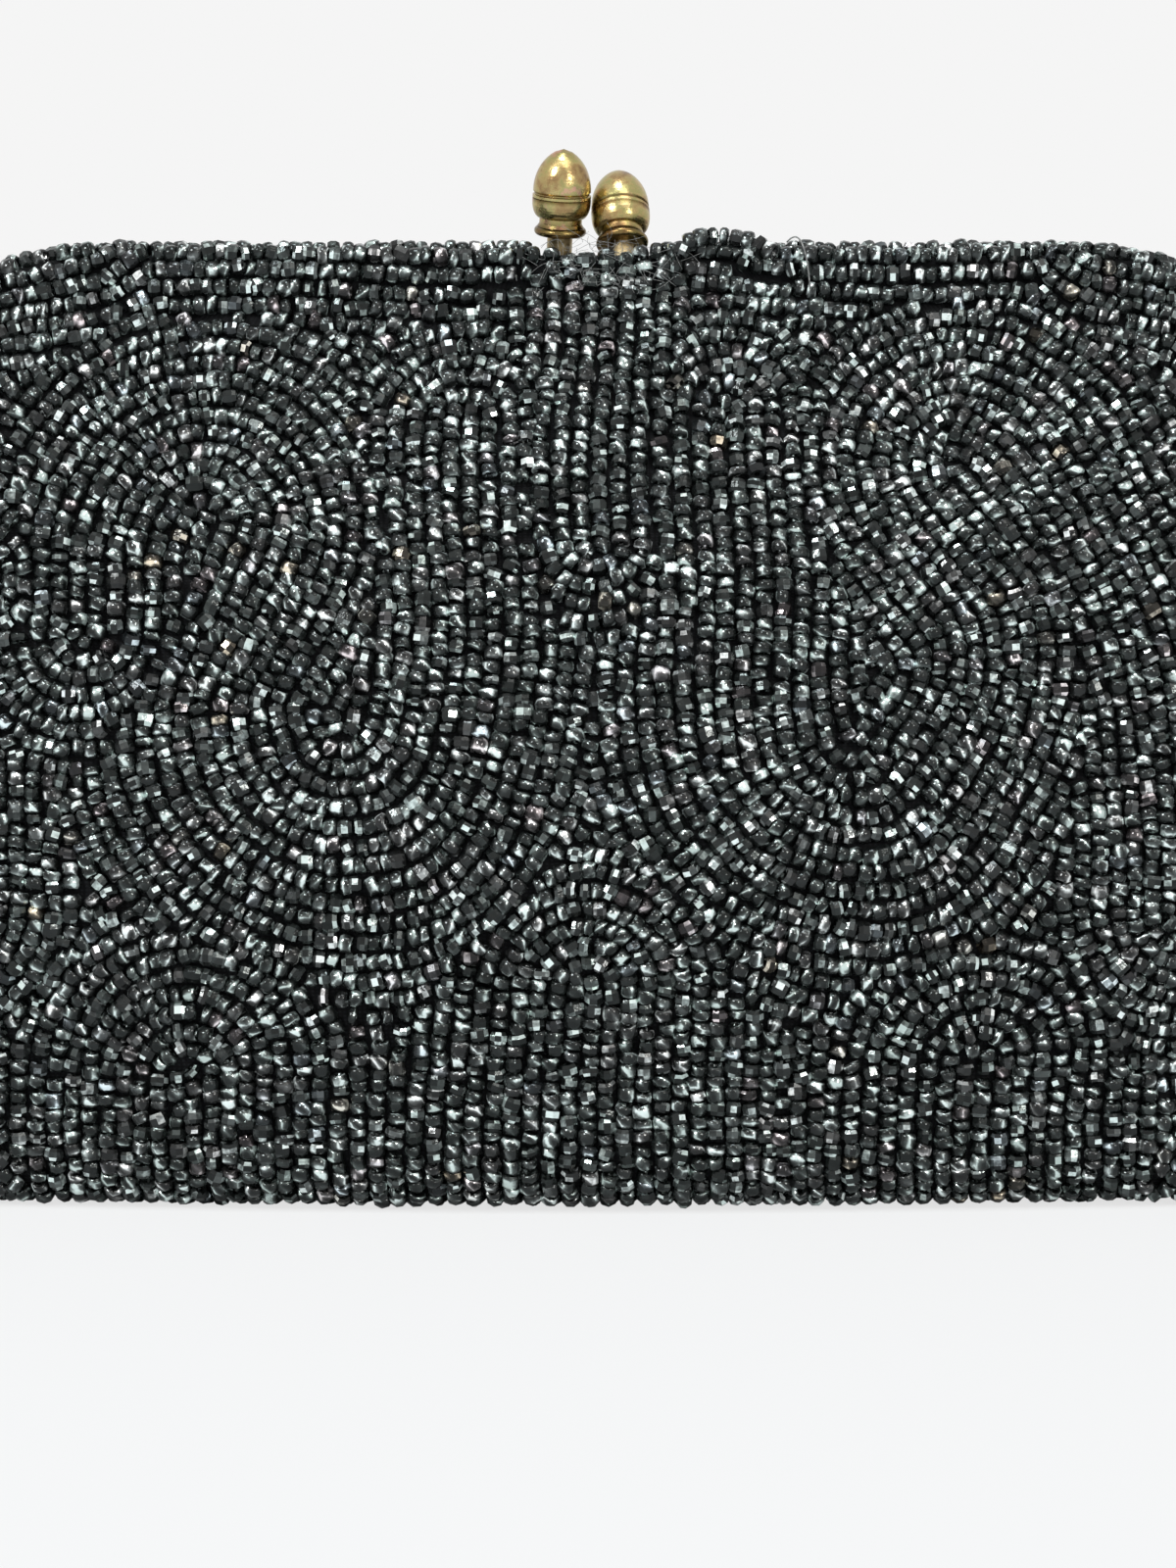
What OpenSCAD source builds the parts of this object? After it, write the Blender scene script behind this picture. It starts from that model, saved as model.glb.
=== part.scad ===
// Beaded clutch on a concealed kiss lock frame. Millimetres, Z up.
// The origin is the middle of the flat base. The front of the bag faces -Y.

/* [Bag] */
// Height of the bag from its flat base to the top of the beadwork
bag_h = 120; // [114:1:126]
// Widest width of the bag, low on the sides
bag_w = 212; // [206:1:218]
// Greatest depth of the filled bag
bag_d = 44; // [40:1:50]
// Height at which the bag is widest
widest_z = 40; // [30:1:50]
// Height at which the bag is deepest
fullest_z = 42; // [34:1:50]
// Width of the flat base
base_w = 176; // [164:1:186]
// Depth of the flat base
base_d = 24; // [20:1:28]
// Width of the bag just above the rounded ends of the base
low_w = 206; // [200:1:210]
// Depth of the bag just above the rounded long edges of the base
low_d = 36; // [34:1:38]
// Height of the rounded ends of the base
base_round_h = 14; // [11:1:18]
// Height of the rounded long edges of the base
base_round_d = 8; // [7.5:0.5:10]

/* [Layers] */
// Thickness of the cover: ground cloth and the beads sewn on it
cover_t = 2.6; // [2.2:0.1:3]
// Thickness of the wadding between cover and lining
wadding_t = 1.8; // [1.4:0.1:2.2]
// Thickness of the satin lining
lining_t = 0.6; // [0.4:0.1:0.8]
// Gap left between one layer and the next
layer_gap = 0.4; // [0.35:0.05:0.5]
// Width of the slip pocket on the back lining
pocket_w = 84; // [60:2:100]
// Height of the slip pocket
pocket_h = 50; // [36:2:56]
// Height of the foot of the pocket above the base
pocket_foot = 32; // [24:2:36]

/* [Frame] */
// Width of the frame over its legs
frame_w = 186; // [182:1:188]
// Height of the frame from the hinge line to the top of its rail
frame_rise = 39; // [37:1:42]
// Outer radius of the frame's corners
frame_corner_r = 32; // [28:1:34]
// Height of the channel section of a rail
rail_h = 5; // [4:0.25:6]
// Depth of one rail from face to face
rail_d = 4; // [3.5:0.25:4.5]
// Sheet thickness of a rail
rail_wall = 0.8; // [0.6:0.05:0.9]
// Gap between the two rails when the frame is shut
mouth_gap = 0.4; // [0.3:0.1:0.8]
// Diameter of the sewing holes through the rail
sew_hole_d = 1.2; // [0.8:0.1:1.6]
// Distance from one sewing hole to the next
sew_pitch = 8; // [6:1:12]
// Clearance between the rail and the cover over it
fit_gap = 0.3; // [0.2:0.05:0.4]
// Extra room between the legs of the frame and the cover at the sides
side_room = 2.2; // [2:0.1:3]

/* [Hinges] */
// Radius of the round ear at the foot of each leg
ear_r = 3; // [2.4:0.1:3.2]
// Thickness of an ear
ear_t = 1; // [0.8:0.1:1.1]
// Running gap between the two ears of a hinge
ear_gap = 0.12; // [0.1:0.02:0.2]
// Diameter of the hinge pin
pin_d = 1.6; // [1.2:0.1:2]
// Radial clearance of the pin in the front ear
pin_play = 0.05; // [0.03:0.01:0.08]
// Diameter of the pin's two heads
pin_head_d = 3.2; // [2.8:0.1:3.6]
// Thickness of a pin head
pin_head_t = 0.5; // [0.4:0.1:0.7]
// Height of the ears' neck between the pin and the foot of the channel
leg_foot = 4; // [3.6:0.1:5]

/* [Kiss lock] */
// Widest diameter of a knob
knob_d = 7.4; // [7:0.1:7.5]
// Height of a knob from the foot of its collar to its tip
knob_h = 10.8; // [10:0.1:12]
// Distance between the two knobs from middle to middle
knob_apart = 7.3; // [7.3:0.1:8]
// Lean of each knob over the other rail, in degrees
knob_lean = 20; // [14:1:22]
// Lean of each knob towards the other, in degrees
knob_toe = 3; // [0:0.5:4]
// How far the collar of the front knob stands above its rail
front_stand = 2.8; // [2.6:0.1:3.2]
// How much higher the back knob stands than the front one
knob_step = 1.9; // [1.5:0.1:2.5]
// Diameter of the post that carries a knob
post_d = 3.2; // [2.8:0.1:3.4]
// Diameter of the collar under a knob
collar_d = 6.6; // [5.8:0.1:6.8]
// Thickness of the collar
collar_t = 1.1; // [0.9:0.1:1.3]
// Length of the arm's foot inside the rail
arm_foot_l = 18; // [16:1:24]
// Thickness of the arm's foot
arm_foot_t = 0.9; // [0.7:0.1:1.2]
// Diameter of the rivets that hold the arm's foot
arm_rivet_d = 1.2; // [1:0.1:1.4]
// Half width of the bare slit in the top of the cover that the posts pass
slit_half_w = 7; // [6.5:0.25:8]
// Clearance between a post and the cloth beside it
post_room = 0.5; // [0.4:0.1:0.7]

/* [Hidden] */

// Places of the frame
rail_top = bag_h - cover_t - fit_gap;
hinge_z = rail_top - frame_rise;
corner_x = frame_w / 2 - frame_corner_r;
corner_z = rail_top - frame_corner_r;
rail_y = mouth_gap / 2 + rail_d / 2;
foot_z = hinge_z + leg_foot;

// Reach of the cover round the corner of the frame, sideways and upwards
side_reach = frame_corner_r + side_room + cover_t;
top_reach = frame_corner_r + fit_gap + cover_t;
neck_half_w = corner_x + side_reach;

// Half depth of the bag over the rail, and the round of its top edge
band_half_d = mouth_gap / 2 + rail_d + fit_gap + cover_t;
band_z = rail_top - rail_h;
top_round = cover_t + 0.6;
// How the depth falls from the fullest height to the rail
fall_power = 1.8;

// The rounded side edge of the bag: its run inwards low down and at the rail
edge_run_low = 16;
edge_run_high = 3.6;
edge_from = widest_z + 10;
edge_to = hinge_z + 14;
// Depth of the side edge as a share of the crown, low down
edge_share_low = 0.6;
// Part of a section's points that lies on the broad face
face_share = 0.75;

// Insets of the layers from the outer surface
wadding_in = cover_t + layer_gap;
lining_in = wadding_in + wadding_t + layer_gap;
pocket_in = lining_in + lining_t + 2 * layer_gap;
seam_half = 0.1;
// Columns of points across a layer, the same in all so that they nest
columns = 32;

// The fixed lower front and the rim on the front rail part along an arch.
// Its radius is the rise of the arch over the corner of the frame.
part_r = frame_corner_r - 14;
part_gap = 1.2;
// Radius of the arch at which the lining is sewn to the rails
lining_r = frame_corner_r - rail_h - fit_gap;
// How far below the hinge line the fixed front stops beside the hinges
hinge_drop = 9;
// How far above the hinge line the rim stops beside the hinges
rim_lift = 7;
// How fast the fixed front falls away from the arch beside the hinges
drop_run = 4;

$fn = 48;

function smooth(t) = let (u = max(0, min(1, t))) u * u * (3 - 2 * u);
function quarter(run, full) = sqrt(max(0, 1 - pow(run / full, 2)));

// Half width of the bag at a height, for a surface set in from the outside
function half_width(z, inset) =
    z > corner_z
    ? corner_x + (side_reach - inset) * quarter(z - corner_z, top_reach - inset)
    : z > widest_z
    ? bag_w / 2 - inset
      - (bag_w / 2 - neck_half_w) * smooth((z - widest_z) / (corner_z - widest_z))
    : z > base_round_h
    ? low_w / 2 - inset
      + (bag_w - low_w) / 2 * smooth((z - base_round_h) / (widest_z - base_round_h))
    : base_w / 2 + ((low_w - base_w) / 2 - inset)
      * quarter(base_round_h - z, base_round_h - inset);

// Half depth of the bag at its middle, for a surface set in from the outside
function crown(z, inset) =
    let (round_r = max(top_round - inset, 0.1))
    z > bag_h - top_round
    ? band_half_d - top_round + round_r * quarter(z - bag_h + top_round, round_r)
    : z > band_z
    ? band_half_d - inset
    : z > fullest_z
    ? band_half_d - inset + (bag_d / 2 - band_half_d)
      * (1 - pow((z - fullest_z) / (band_z - fullest_z), fall_power))
    : z > base_round_d
    ? low_d / 2 - inset
      + (bag_d - low_d) / 2 * smooth((z - base_round_d) / (fullest_z - base_round_d))
    : base_d / 2 + ((low_d - base_d) / 2 - inset)
      * quarter(base_round_d - z, base_round_d - inset);

function edge_run(z, inset) =
    max(1, edge_run_low - inset
        - (edge_run_low - edge_run_high) * smooth((z - edge_from) / (edge_to - edge_from)));

function edge_depth(z, inset) =
    let (rise = smooth((z - edge_from) / (band_z - edge_from)))
    min(crown(z, inset),
        crown(z, 0) * (edge_share_low + (1 - edge_share_low) * rise) - inset);

// A point of the section at height z: t runs from -1 at the left side seam,
// over the broad face, to 1 at the right side seam
function section(z, inset, t) =
    let (
        a = half_width(z, inset),
        r = edge_run(z, inset),
        e = edge_depth(z, inset),
        c = crown(z, inset),
        s = abs(t),
        w = s / face_share,
        turn = 90 * (s - face_share) / (1 - face_share)
    )
    s <= face_share
    ? [sign(t) * (a - r) * w, e + (c - e) * pow(1 - w * w, 1.2)]
    : [sign(t) * (a - r + r * sin(turn)), e * cos(turn)];

// The same point in space on the front half, never past the seam plane
function skin(z, inset, t, seam) =
    let (p = section(z, inset, t))
    [p[0], -max(seam, p[1]), z];

// The row along the seam under the base
function seam_row(inset, ts) =
    [for (t = ts) [0.97 * section(inset, inset, t)[0], -seam_half, inset]];

function spread(count, reach) = [for (j = [0:count]) reach * (2 * j / count - 1)];

// Heights of the rows that round the base
function base_rows(inset) =
    [for (k = [0:4]) inset + (base_round_h - inset) * (1 - cos(22.5 * k))];

// Arch in the front view: flat over the middle, round over the frame's
// corner, then down to the given height beside the hinges
function arch_z(x, r, low) =
    let (over = abs(x) - corner_x)
    over <= 0
    ? corner_z + r
    : over < r
    ? max(low, corner_z + sqrt(r * r - over * over))
    : low + max(0, corner_z - low) * (1 - smooth((over - r) / drop_run));

// Nominal distance of a column from the middle, taken at the hinges
function column_x(t) = section(hinge_z + 16, 0, t)[0];

// Height on an inner surface that lies as far from the hinge line as the
// point of the outer surface at height z
function turned_z(z, inset_out, inset_in, t) =
    let (
        out_y = section(z, inset_out, t)[1],
        in_y = section(z, inset_in, t)[1],
        rise = z - hinge_z
    )
    rise < 10 ? z : hinge_z + sqrt(rise * rise + out_y * out_y - in_y * in_y);

// Closed sheet between two grids of points with equal rows and columns
module thick_sheet(outer, inner) {
    rows = len(outer) - 1;
    cols = len(outer[0]) - 1;
    back = len(outer) * len(outer[0]);
    function at(i, j) = i * (cols + 1) + j;
    function quad(a, b, c, d) = [[a, b, c], [a, c, d]];
    // The diagonals of the right half mirror those of the left half
    function turned(j, a, b, c, d) = 2 * j < cols ? quad(a, b, c, d) : quad(b, c, d, a);
    quads = concat(
        [for (i = [0:rows - 1], j = [0:cols - 1])
            turned(j, at(i, j), at(i + 1, j), at(i + 1, j + 1), at(i, j + 1))],
        [for (i = [0:rows - 1], j = [0:cols - 1])
            turned(j, back + at(i, j), back + at(i, j + 1),
                   back + at(i + 1, j + 1), back + at(i + 1, j))],
        [for (j = [0:cols - 1])
            quad(at(0, j), at(0, j + 1), back + at(0, j + 1), back + at(0, j))],
        [for (j = [0:cols - 1])
            quad(at(rows, j + 1), at(rows, j), back + at(rows, j), back + at(rows, j + 1))],
        [for (i = [0:rows - 1])
            quad(at(i + 1, 0), at(i, 0), back + at(i, 0), back + at(i + 1, 0))],
        [for (i = [0:rows - 1])
            quad(at(i, cols), at(i + 1, cols), back + at(i + 1, cols), back + at(i, cols))]
    );
    polyhedron(
        points = concat([for (row = outer) each row], [for (row = inner) each row]),
        faces = [for (pair = quads) each pair]
    );
}

// Rows lie closer together towards the top, where the corners curve most
function closer(u) = 1 - pow(1 - u, 1.6);

// Surface from the seam under the base up to an edge whose height is given
// for each column
function wall_grid(inset, ts, tops, steps) =
    let (low = base_rows(inset))
    concat(
        [seam_row(inset, ts)],
        [for (z = low) [for (t = ts) skin(z, inset, t, seam_half)]],
        [for (k = [1:steps])
            [for (j = [0:len(ts) - 1])
                skin(base_round_h + (tops[j] - base_round_h) * closer(k / steps),
                     inset, ts[j], seam_half)]]
    );

// Surface between two edges whose heights are given for each column
function strip_grid(inset, ts, feet, tops, steps, seam) =
    [for (k = [0:steps])
        [for (j = [0:len(ts) - 1])
            skin(feet[j] + (tops[j] - feet[j]) * closer(k / steps), inset, ts[j], seam)]];

// Distance from the middle at which the top of the cover ends: close to the
// other half of the bag, but well back where the two posts stand
function lip_y(t) =
    abs(section(bag_h, 0, t)[0]) > slit_half_w
    ? mouth_gap / 2
    : mouth_gap / 2 + rail_d / 2 + post_d / 2 + post_room;

// Rows that round the top of the cover and close it over the rail
function top_rows(inset, ts, steps) =
    let (from = bag_h - top_round, rise = top_round - inset)
    concat(
        [for (k = [1:steps])
            [for (t = ts)
                skin(from + rise * sin(90 * k / steps), inset, t, lip_y(t) + 0.15)]],
        [[for (t = ts)
            [0.97 * section(bag_h - inset, inset, t)[0], -lip_y(t), bag_h - inset]]]
    );

// One knob's own frame: its axis rises from the middle of its rail's top.
// side is 1 for the front knob on the right, -1 for the back knob on the left
module on_post(side) {
    tilt_rise = knob_stand(side) + knob_h / 2;
    x = knob_apart / 2 + tilt_rise * sin(knob_toe);
    translate([side * x, -side * rail_y, rail_top])
        rotate([-side * knob_lean, -side * knob_toe, 0])
            children();
}

function knob_stand(side) = side > 0 ? front_stand : front_stand + knob_step;

// Middle of the knob's foot on its rail
function knob_x(side) =
    side * (knob_apart / 2 + (knob_stand(side) + knob_h / 2) * sin(knob_toe));

// Beaded cloth of the back, over the back rail
module back_cover() {
    ts = spread(columns, 1);
    tops = [for (t = ts) bag_h - top_round];
    color("#3c4140")
        mirror([0, 1, 0])
            thick_sheet(
                concat(wall_grid(0, ts, tops, 13), top_rows(0, ts, 3)),
                concat(wall_grid(cover_t, ts, tops, 13), top_rows(cover_t, ts, 3))
            );
}

// Beaded cloth of the front, up to where it starts to swing with the frame
module front_cover() {
    ts = spread(columns, 1);
    tops = [for (t = ts) arch_z(column_x(t), part_r, hinge_z - hinge_drop)];
    inner_tops = [for (j = [0:len(ts) - 1]) turned_z(tops[j], 0, cover_t, ts[j])];
    color("#454a49")
        thick_sheet(wall_grid(0, ts, tops, 8), wall_grid(cover_t, ts, inner_tops, 8));
}

// Beaded cloth of the front that is drawn over the front rail
module front_cover_rim() {
    ts = spread(columns, 1);
    feet = [for (t = ts) arch_z(column_x(t), part_r + part_gap, hinge_z + rim_lift)];
    inner_feet = [for (j = [0:len(ts) - 1]) turned_z(feet[j], 0, cover_t, ts[j])];
    tops = [for (t = ts) bag_h - top_round];
    seam = mouth_gap / 2;
    color("#4c5251")
        thick_sheet(
            concat(strip_grid(0, ts, feet, tops, 5, seam), top_rows(0, ts, 3)),
            concat(strip_grid(cover_t, ts, inner_feet, tops, 5, seam),
                   top_rows(cover_t, ts, 3))
        );
}

// One inner layer from the base up to an arch that stays under the rail
module inner_layer(inset, thick, r) {
    ts = spread(columns, 1);
    tops = [for (t = ts) arch_z(column_x(t), r, hinge_z - hinge_drop - 2)];
    inner_tops = [for (j = [0:len(ts) - 1])
        turned_z(tops[j], inset, inset + thick, ts[j])];
    thick_sheet(wall_grid(inset, ts, tops, 6), wall_grid(inset + thick, ts, inner_tops, 6));
}

module front_wadding() {
    color("#d8d4c8") inner_layer(wadding_in, wadding_t, part_r - 2.7);
}

module back_wadding() {
    color("#d8d4c8") mirror([0, 1, 0]) inner_layer(wadding_in, wadding_t, lining_r - 0.7);
}

module front_lining() {
    color("#2f3133") inner_layer(lining_in, lining_t, part_r - 2);
}

module back_lining() {
    color("#2f3133")
        mirror([0, 1, 0])
            inner_layer(lining_in, lining_t, lining_r);
}

// Upper strip of the front lining, sewn along the front rail
module front_lining_rim() {
    ts = [for (t = spread(columns, 1)) if (abs(t) < 0.8) t];
    inset = cover_t + layer_gap + 0.1;
    cut = [for (t = ts) arch_z(column_x(t), part_r + 2 * part_gap, hinge_z + 2 * rim_lift)];
    feet = [for (j = [0:len(ts) - 1]) turned_z(cut[j], 0, inset, ts[j])];
    inner_feet = [for (j = [0:len(ts) - 1]) turned_z(cut[j], 0, inset + lining_t, ts[j])];
    tops = [for (j = [0:len(ts) - 1])
        max(feet[j] + 2, arch_z(column_x(ts[j]), lining_r, hinge_z + 2 * rim_lift))];
    color("#2f3133")
        thick_sheet(
            strip_grid(inset, ts, feet, tops, 2, mouth_gap / 2),
            strip_grid(inset + lining_t, ts, inner_feet,
                       [for (top = tops) top + 0.3], 2, mouth_gap / 2)
        );
}

// Flat pocket sewn on the back lining, open at its top
module lining_pocket() {
    face_half = half_width(widest_z, pocket_in) - edge_run(widest_z, pocket_in);
    ts = spread(12, face_share * pocket_w / 2 / face_half);
    feet = [for (t = ts) pocket_foot];
    tops = [for (t = ts) pocket_foot + pocket_h];
    color("#36383b")
        mirror([0, 1, 0])
            thick_sheet(
                strip_grid(pocket_in, ts, feet, tops, 4, mouth_gap / 2),
                strip_grid(pocket_in + lining_t, ts, feet, tops, 4, mouth_gap / 2)
            );
}

// Arch-shaped area: a straight-sided opening with two round upper corners
module arch_area(w, top, r, foot) {
    intersection() {
        union() {
            translate([-w / 2, foot]) square([w, top - r - foot]);
            translate([r - w / 2, foot]) square([w - 2 * r, top - foot]);
            for (side = [-1, 1])
                translate([side * (w / 2 - r), top - r]) circle(r);
        }
        translate([-w / 2, foot]) square([w, top - foot]);
    }
}

// The arch as a plate of the given depth, with its middle at y
module arch_plate(inset, y, depth, foot) {
    translate([0, y + depth / 2, 0])
        rotate([90, 0, 0])
            linear_extrude(depth)
                arch_area(frame_w - 2 * inset, rail_top - inset, frame_corner_r - inset, foot);
}

// Ear at the foot of a leg, from x to x + ear_t, with its neck to the rail.
// y_sign is -1 on the front rail and 1 on the back rail
module ear(x, y_sign) {
    near = y_sign * mouth_gap / 2;
    far = y_sign * (mouth_gap / 2 + rail_d);
    translate([x, 0, 0])
        rotate([90, 0, 90])
            linear_extrude(ear_t) {
                translate([0, hinge_z]) circle(ear_r);
                polygon([
                    [far, foot_z + 2], [near, foot_z + 2], [near, foot_z - 0.5],
                    [-y_sign * ear_r * 0.9, hinge_z + ear_r * 0.3],
                    [y_sign * ear_r, hinge_z], [far, foot_z]
                ]);
            }
}

front_ear_x = frame_w / 2 - ear_t - 0.2;
back_ear_x = front_ear_x - ear_gap - ear_t;

// Channel rail, open inwards, with its sewing holes and its two ears
module rail(y_sign, ear_x, pin_hole_d, knob_side) {
    y = y_sign * rail_y;
    hole_r = frame_corner_r - rail_h / 2;
    straight = floor(corner_x / sew_pitch);
    turns = floor(80 / (sew_pitch / hole_r * 180 / PI));
    difference() {
        union() {
            difference() {
                arch_plate(0, y, rail_d, foot_z);
                arch_plate(rail_h, y, rail_d + 1, foot_z - 1);
                arch_plate(rail_wall, y, rail_d - 2 * rail_wall, foot_z - 1);
            }
            ear(ear_x, y_sign);
            ear(-ear_x - ear_t, y_sign);
        }
        for (side = [-1, 1])
            translate([side * (ear_x + ear_t / 2), 0, hinge_z])
                rotate([0, 90, 0])
                    cylinder(d = pin_hole_d, h = 2 * ear_t, center = true);
        for (k = [-straight:straight])
            if (abs(k * sew_pitch - knob_x(knob_side)) > arm_foot_l / 2 + sew_hole_d)
                sew_hole(k * sew_pitch, rail_top - rail_h / 2, y);
        for (side = [-1, 1], k = [1:turns]) {
            a = k * sew_pitch / hole_r * 180 / PI;
            sew_hole(side * (corner_x + hole_r * sin(a)), corner_z + hole_r * cos(a), y);
        }
        translate([knob_x(knob_side), y, rail_top - rail_wall / 2])
            cube([post_d + 0.1, rail_d - 2 * rail_wall, 2 * rail_wall], center = true);
        arm_rivet_places(knob_side)
            cylinder(d = arm_rivet_d + 0.04, h = 4 * rail_wall, center = true);
    }
}

module sew_hole(x, z, y) {
    translate([x, y, z])
        rotate([90, 0, 0])
            cylinder(d = sew_hole_d, h = rail_d + 2, center = true);
}

module back_frame_rail() {
    color("#a8a39a") rail(1, back_ear_x, pin_d + 0.04, -1);
}

module front_frame_rail() {
    color("#b3aea4") rail(-1, front_ear_x, pin_d + 2 * pin_play, 1);
}

// Pin through both ears with a head at each end
module hinge_pin() {
    from = back_ear_x - 0.05;
    to = front_ear_x + ear_t + 0.05;
    translate([from - pin_head_t, 0, hinge_z])
        rotate([0, 90, 0])
            union() {
                cylinder(d = pin_d, h = to - from + 2 * pin_head_t);
                cylinder(d = pin_head_d, h = pin_head_t);
                translate([0, 0, to - from + pin_head_t])
                    cylinder(d = pin_head_d, h = pin_head_t);
            }
}

module right_hinge_pin() {
    color("#c9a86a") hinge_pin();
}

module left_hinge_pin() {
    color("#c9a86a") mirror([1, 0, 0]) hinge_pin();
}

// Middles of the two rivets of an arm, on top of its rail
module arm_rivet_places(side) {
    for (end = [-1, 1])
        translate([knob_x(side) + end * (arm_foot_l / 2 - 2), -side * rail_y, rail_top])
            children();
}

foot_slack = 0.02;

// Foot plate in the channel, upright through the rail, and the leaning post
module lock_arm(side) {
    foot_w = rail_d - 2 * rail_wall - 0.1;
    plate_top = rail_top - rail_wall - foot_slack;
    difference() {
        union() {
            translate([knob_x(side) - arm_foot_l / 2, -side * rail_y - foot_w / 2,
                       plate_top - arm_foot_t])
                cube([arm_foot_l, foot_w, arm_foot_t]);
            translate([knob_x(side) - post_d / 2, -side * rail_y - foot_w / 2,
                       plate_top - arm_foot_t])
                cube([post_d, foot_w, arm_foot_t + rail_wall + 2 * foot_slack + 0.3]);
            intersection() {
                on_post(side)
                    translate([0, 0, -2])
                        cylinder(d = post_d, h = 2 + knob_stand(side) + post_in_cup);
                translate([knob_x(side) - 10, -10, rail_top + foot_slack])
                    cube([20, 20, 30]);
            }
        }
        arm_rivet_places(side)
            cylinder(d = arm_rivet_d + 0.04, h = 4 * (rail_wall + arm_foot_t), center = true);
    }
}

module back_lock_arm() {
    color("#b08f52") lock_arm(-1);
}

module front_lock_arm() {
    color("#b08f52") lock_arm(1);
}

// Two rivets with their formed heads under the foot plate
module arm_rivets(side) {
    grip = rail_wall + foot_slack + arm_foot_t;
    arm_rivet_places(side) {
        translate([0, 0, -grip - 0.4]) cylinder(d = arm_rivet_d, h = grip + 0.4);
        translate([0, 0, -grip - 0.5]) cylinder(d = arm_rivet_d + 0.8, h = 0.48);
    }
}

module back_arm_rivets() {
    color("#c9a86a") arm_rivets(-1);
}

module front_arm_rivets() {
    color("#c9a86a") arm_rivets(1);
}

// Heights of the acorn knob along its axis, from the foot of its collar
neck_top = collar_t + 1.1;
seam_h = 0.43 * knob_h;
neck_d = post_d + 2.2;
bore_d = post_d + 0.06;
spigot_d = knob_d - 2.2;
spigot_h = 0.9;
post_in_cup = seam_h - spigot_h - 0.15;

module knob_collar() {
    lip = collar_t / 2;
    rotate_extrude()
        difference() {
            union() {
                square([collar_d / 2 - lip, collar_t]);
                translate([collar_d / 2 - lip, lip]) circle(lip);
            }
            translate([-1, -1]) square([1 + bore_d / 2, collar_t + 2]);
            translate([-1 - collar_d, -1]) square([1 + collar_d, collar_t + 2]);
        }
}

// Lower half of the knob: a short neck that opens into a round cup
module knob_cup() {
    cup_h = seam_h - neck_top;
    wide = knob_d / 2;
    steps = 8;
    rotate_extrude()
        difference() {
            polygon(concat(
                [[0, collar_t + 0.02], [neck_d / 2 + 0.25, collar_t + 0.02],
                 [neck_d / 2, collar_t + 0.4], [neck_d / 2, neck_top]],
                [for (k = [1:steps])
                    [neck_d / 2 + (wide - neck_d / 2) * sin(90 * k / steps),
                     neck_top + cup_h * (1 - cos(90 * k / steps)) * 0.82]],
                [[wide, seam_h - 0.02], [0, seam_h - 0.02]]
            ));
            translate([-1, 0]) square([1 + bore_d / 2, post_in_cup + 0.05]);
            translate([-1, seam_h - spigot_h - 0.05])
                square([1 + spigot_d / 2 + 0.03, spigot_h + 1]);
        }
}

// Upper half of the knob: a seam ring, a groove and the tapering dome
module knob_dome() {
    wide = knob_d / 2;
    ring_h = 0.55;
    groove = 0.22;
    dome_from = seam_h + ring_h + 0.35;
    rise = knob_h - dome_from;
    steps = 14;
    rotate_extrude()
        union() {
            polygon(concat(
                [[0, seam_h], [wide - 0.08, seam_h], [wide, seam_h + 0.12],
                 [wide, seam_h + ring_h - 0.12], [wide - groove, seam_h + ring_h],
                 [wide - groove, seam_h + ring_h + 0.15]],
                [for (k = [0:steps])
                    let (u = k / steps)
                    [(wide - 0.05) * pow(1 - pow(u, 2.1), 0.62), dome_from + rise * u]]
            ));
            translate([0, seam_h - spigot_h]) square([spigot_d / 2, spigot_h + 0.1]);
        }
}

module placed_on_post(side) {
    on_post(side)
        translate([0, 0, knob_stand(side)])
            children();
}

module back_knob_collar() {
    color("#a08a5e") placed_on_post(-1) knob_collar();
}

module front_knob_collar() {
    color("#a08a5e") placed_on_post(1) knob_collar();
}

module back_knob_cup() {
    color("#a89266") placed_on_post(-1) knob_cup();
}

module front_knob_cup() {
    color("#a89266") placed_on_post(1) knob_cup();
}

module back_knob_dome() {
    color("#b09a6c") placed_on_post(-1) knob_dome();
}

module front_knob_dome() {
    color("#b09a6c") placed_on_post(1) knob_dome();
}

back_cover();
front_cover();
front_cover_rim();
back_wadding();
front_wadding();
back_lining();
front_lining();
front_lining_rim();
lining_pocket();
back_frame_rail();
front_frame_rail();
left_hinge_pin();
right_hinge_pin();
back_lock_arm();
front_lock_arm();
back_arm_rivets();
front_arm_rivets();
back_knob_collar();
front_knob_collar();
back_knob_cup();
front_knob_cup();
back_knob_dome();
front_knob_dome();
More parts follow.
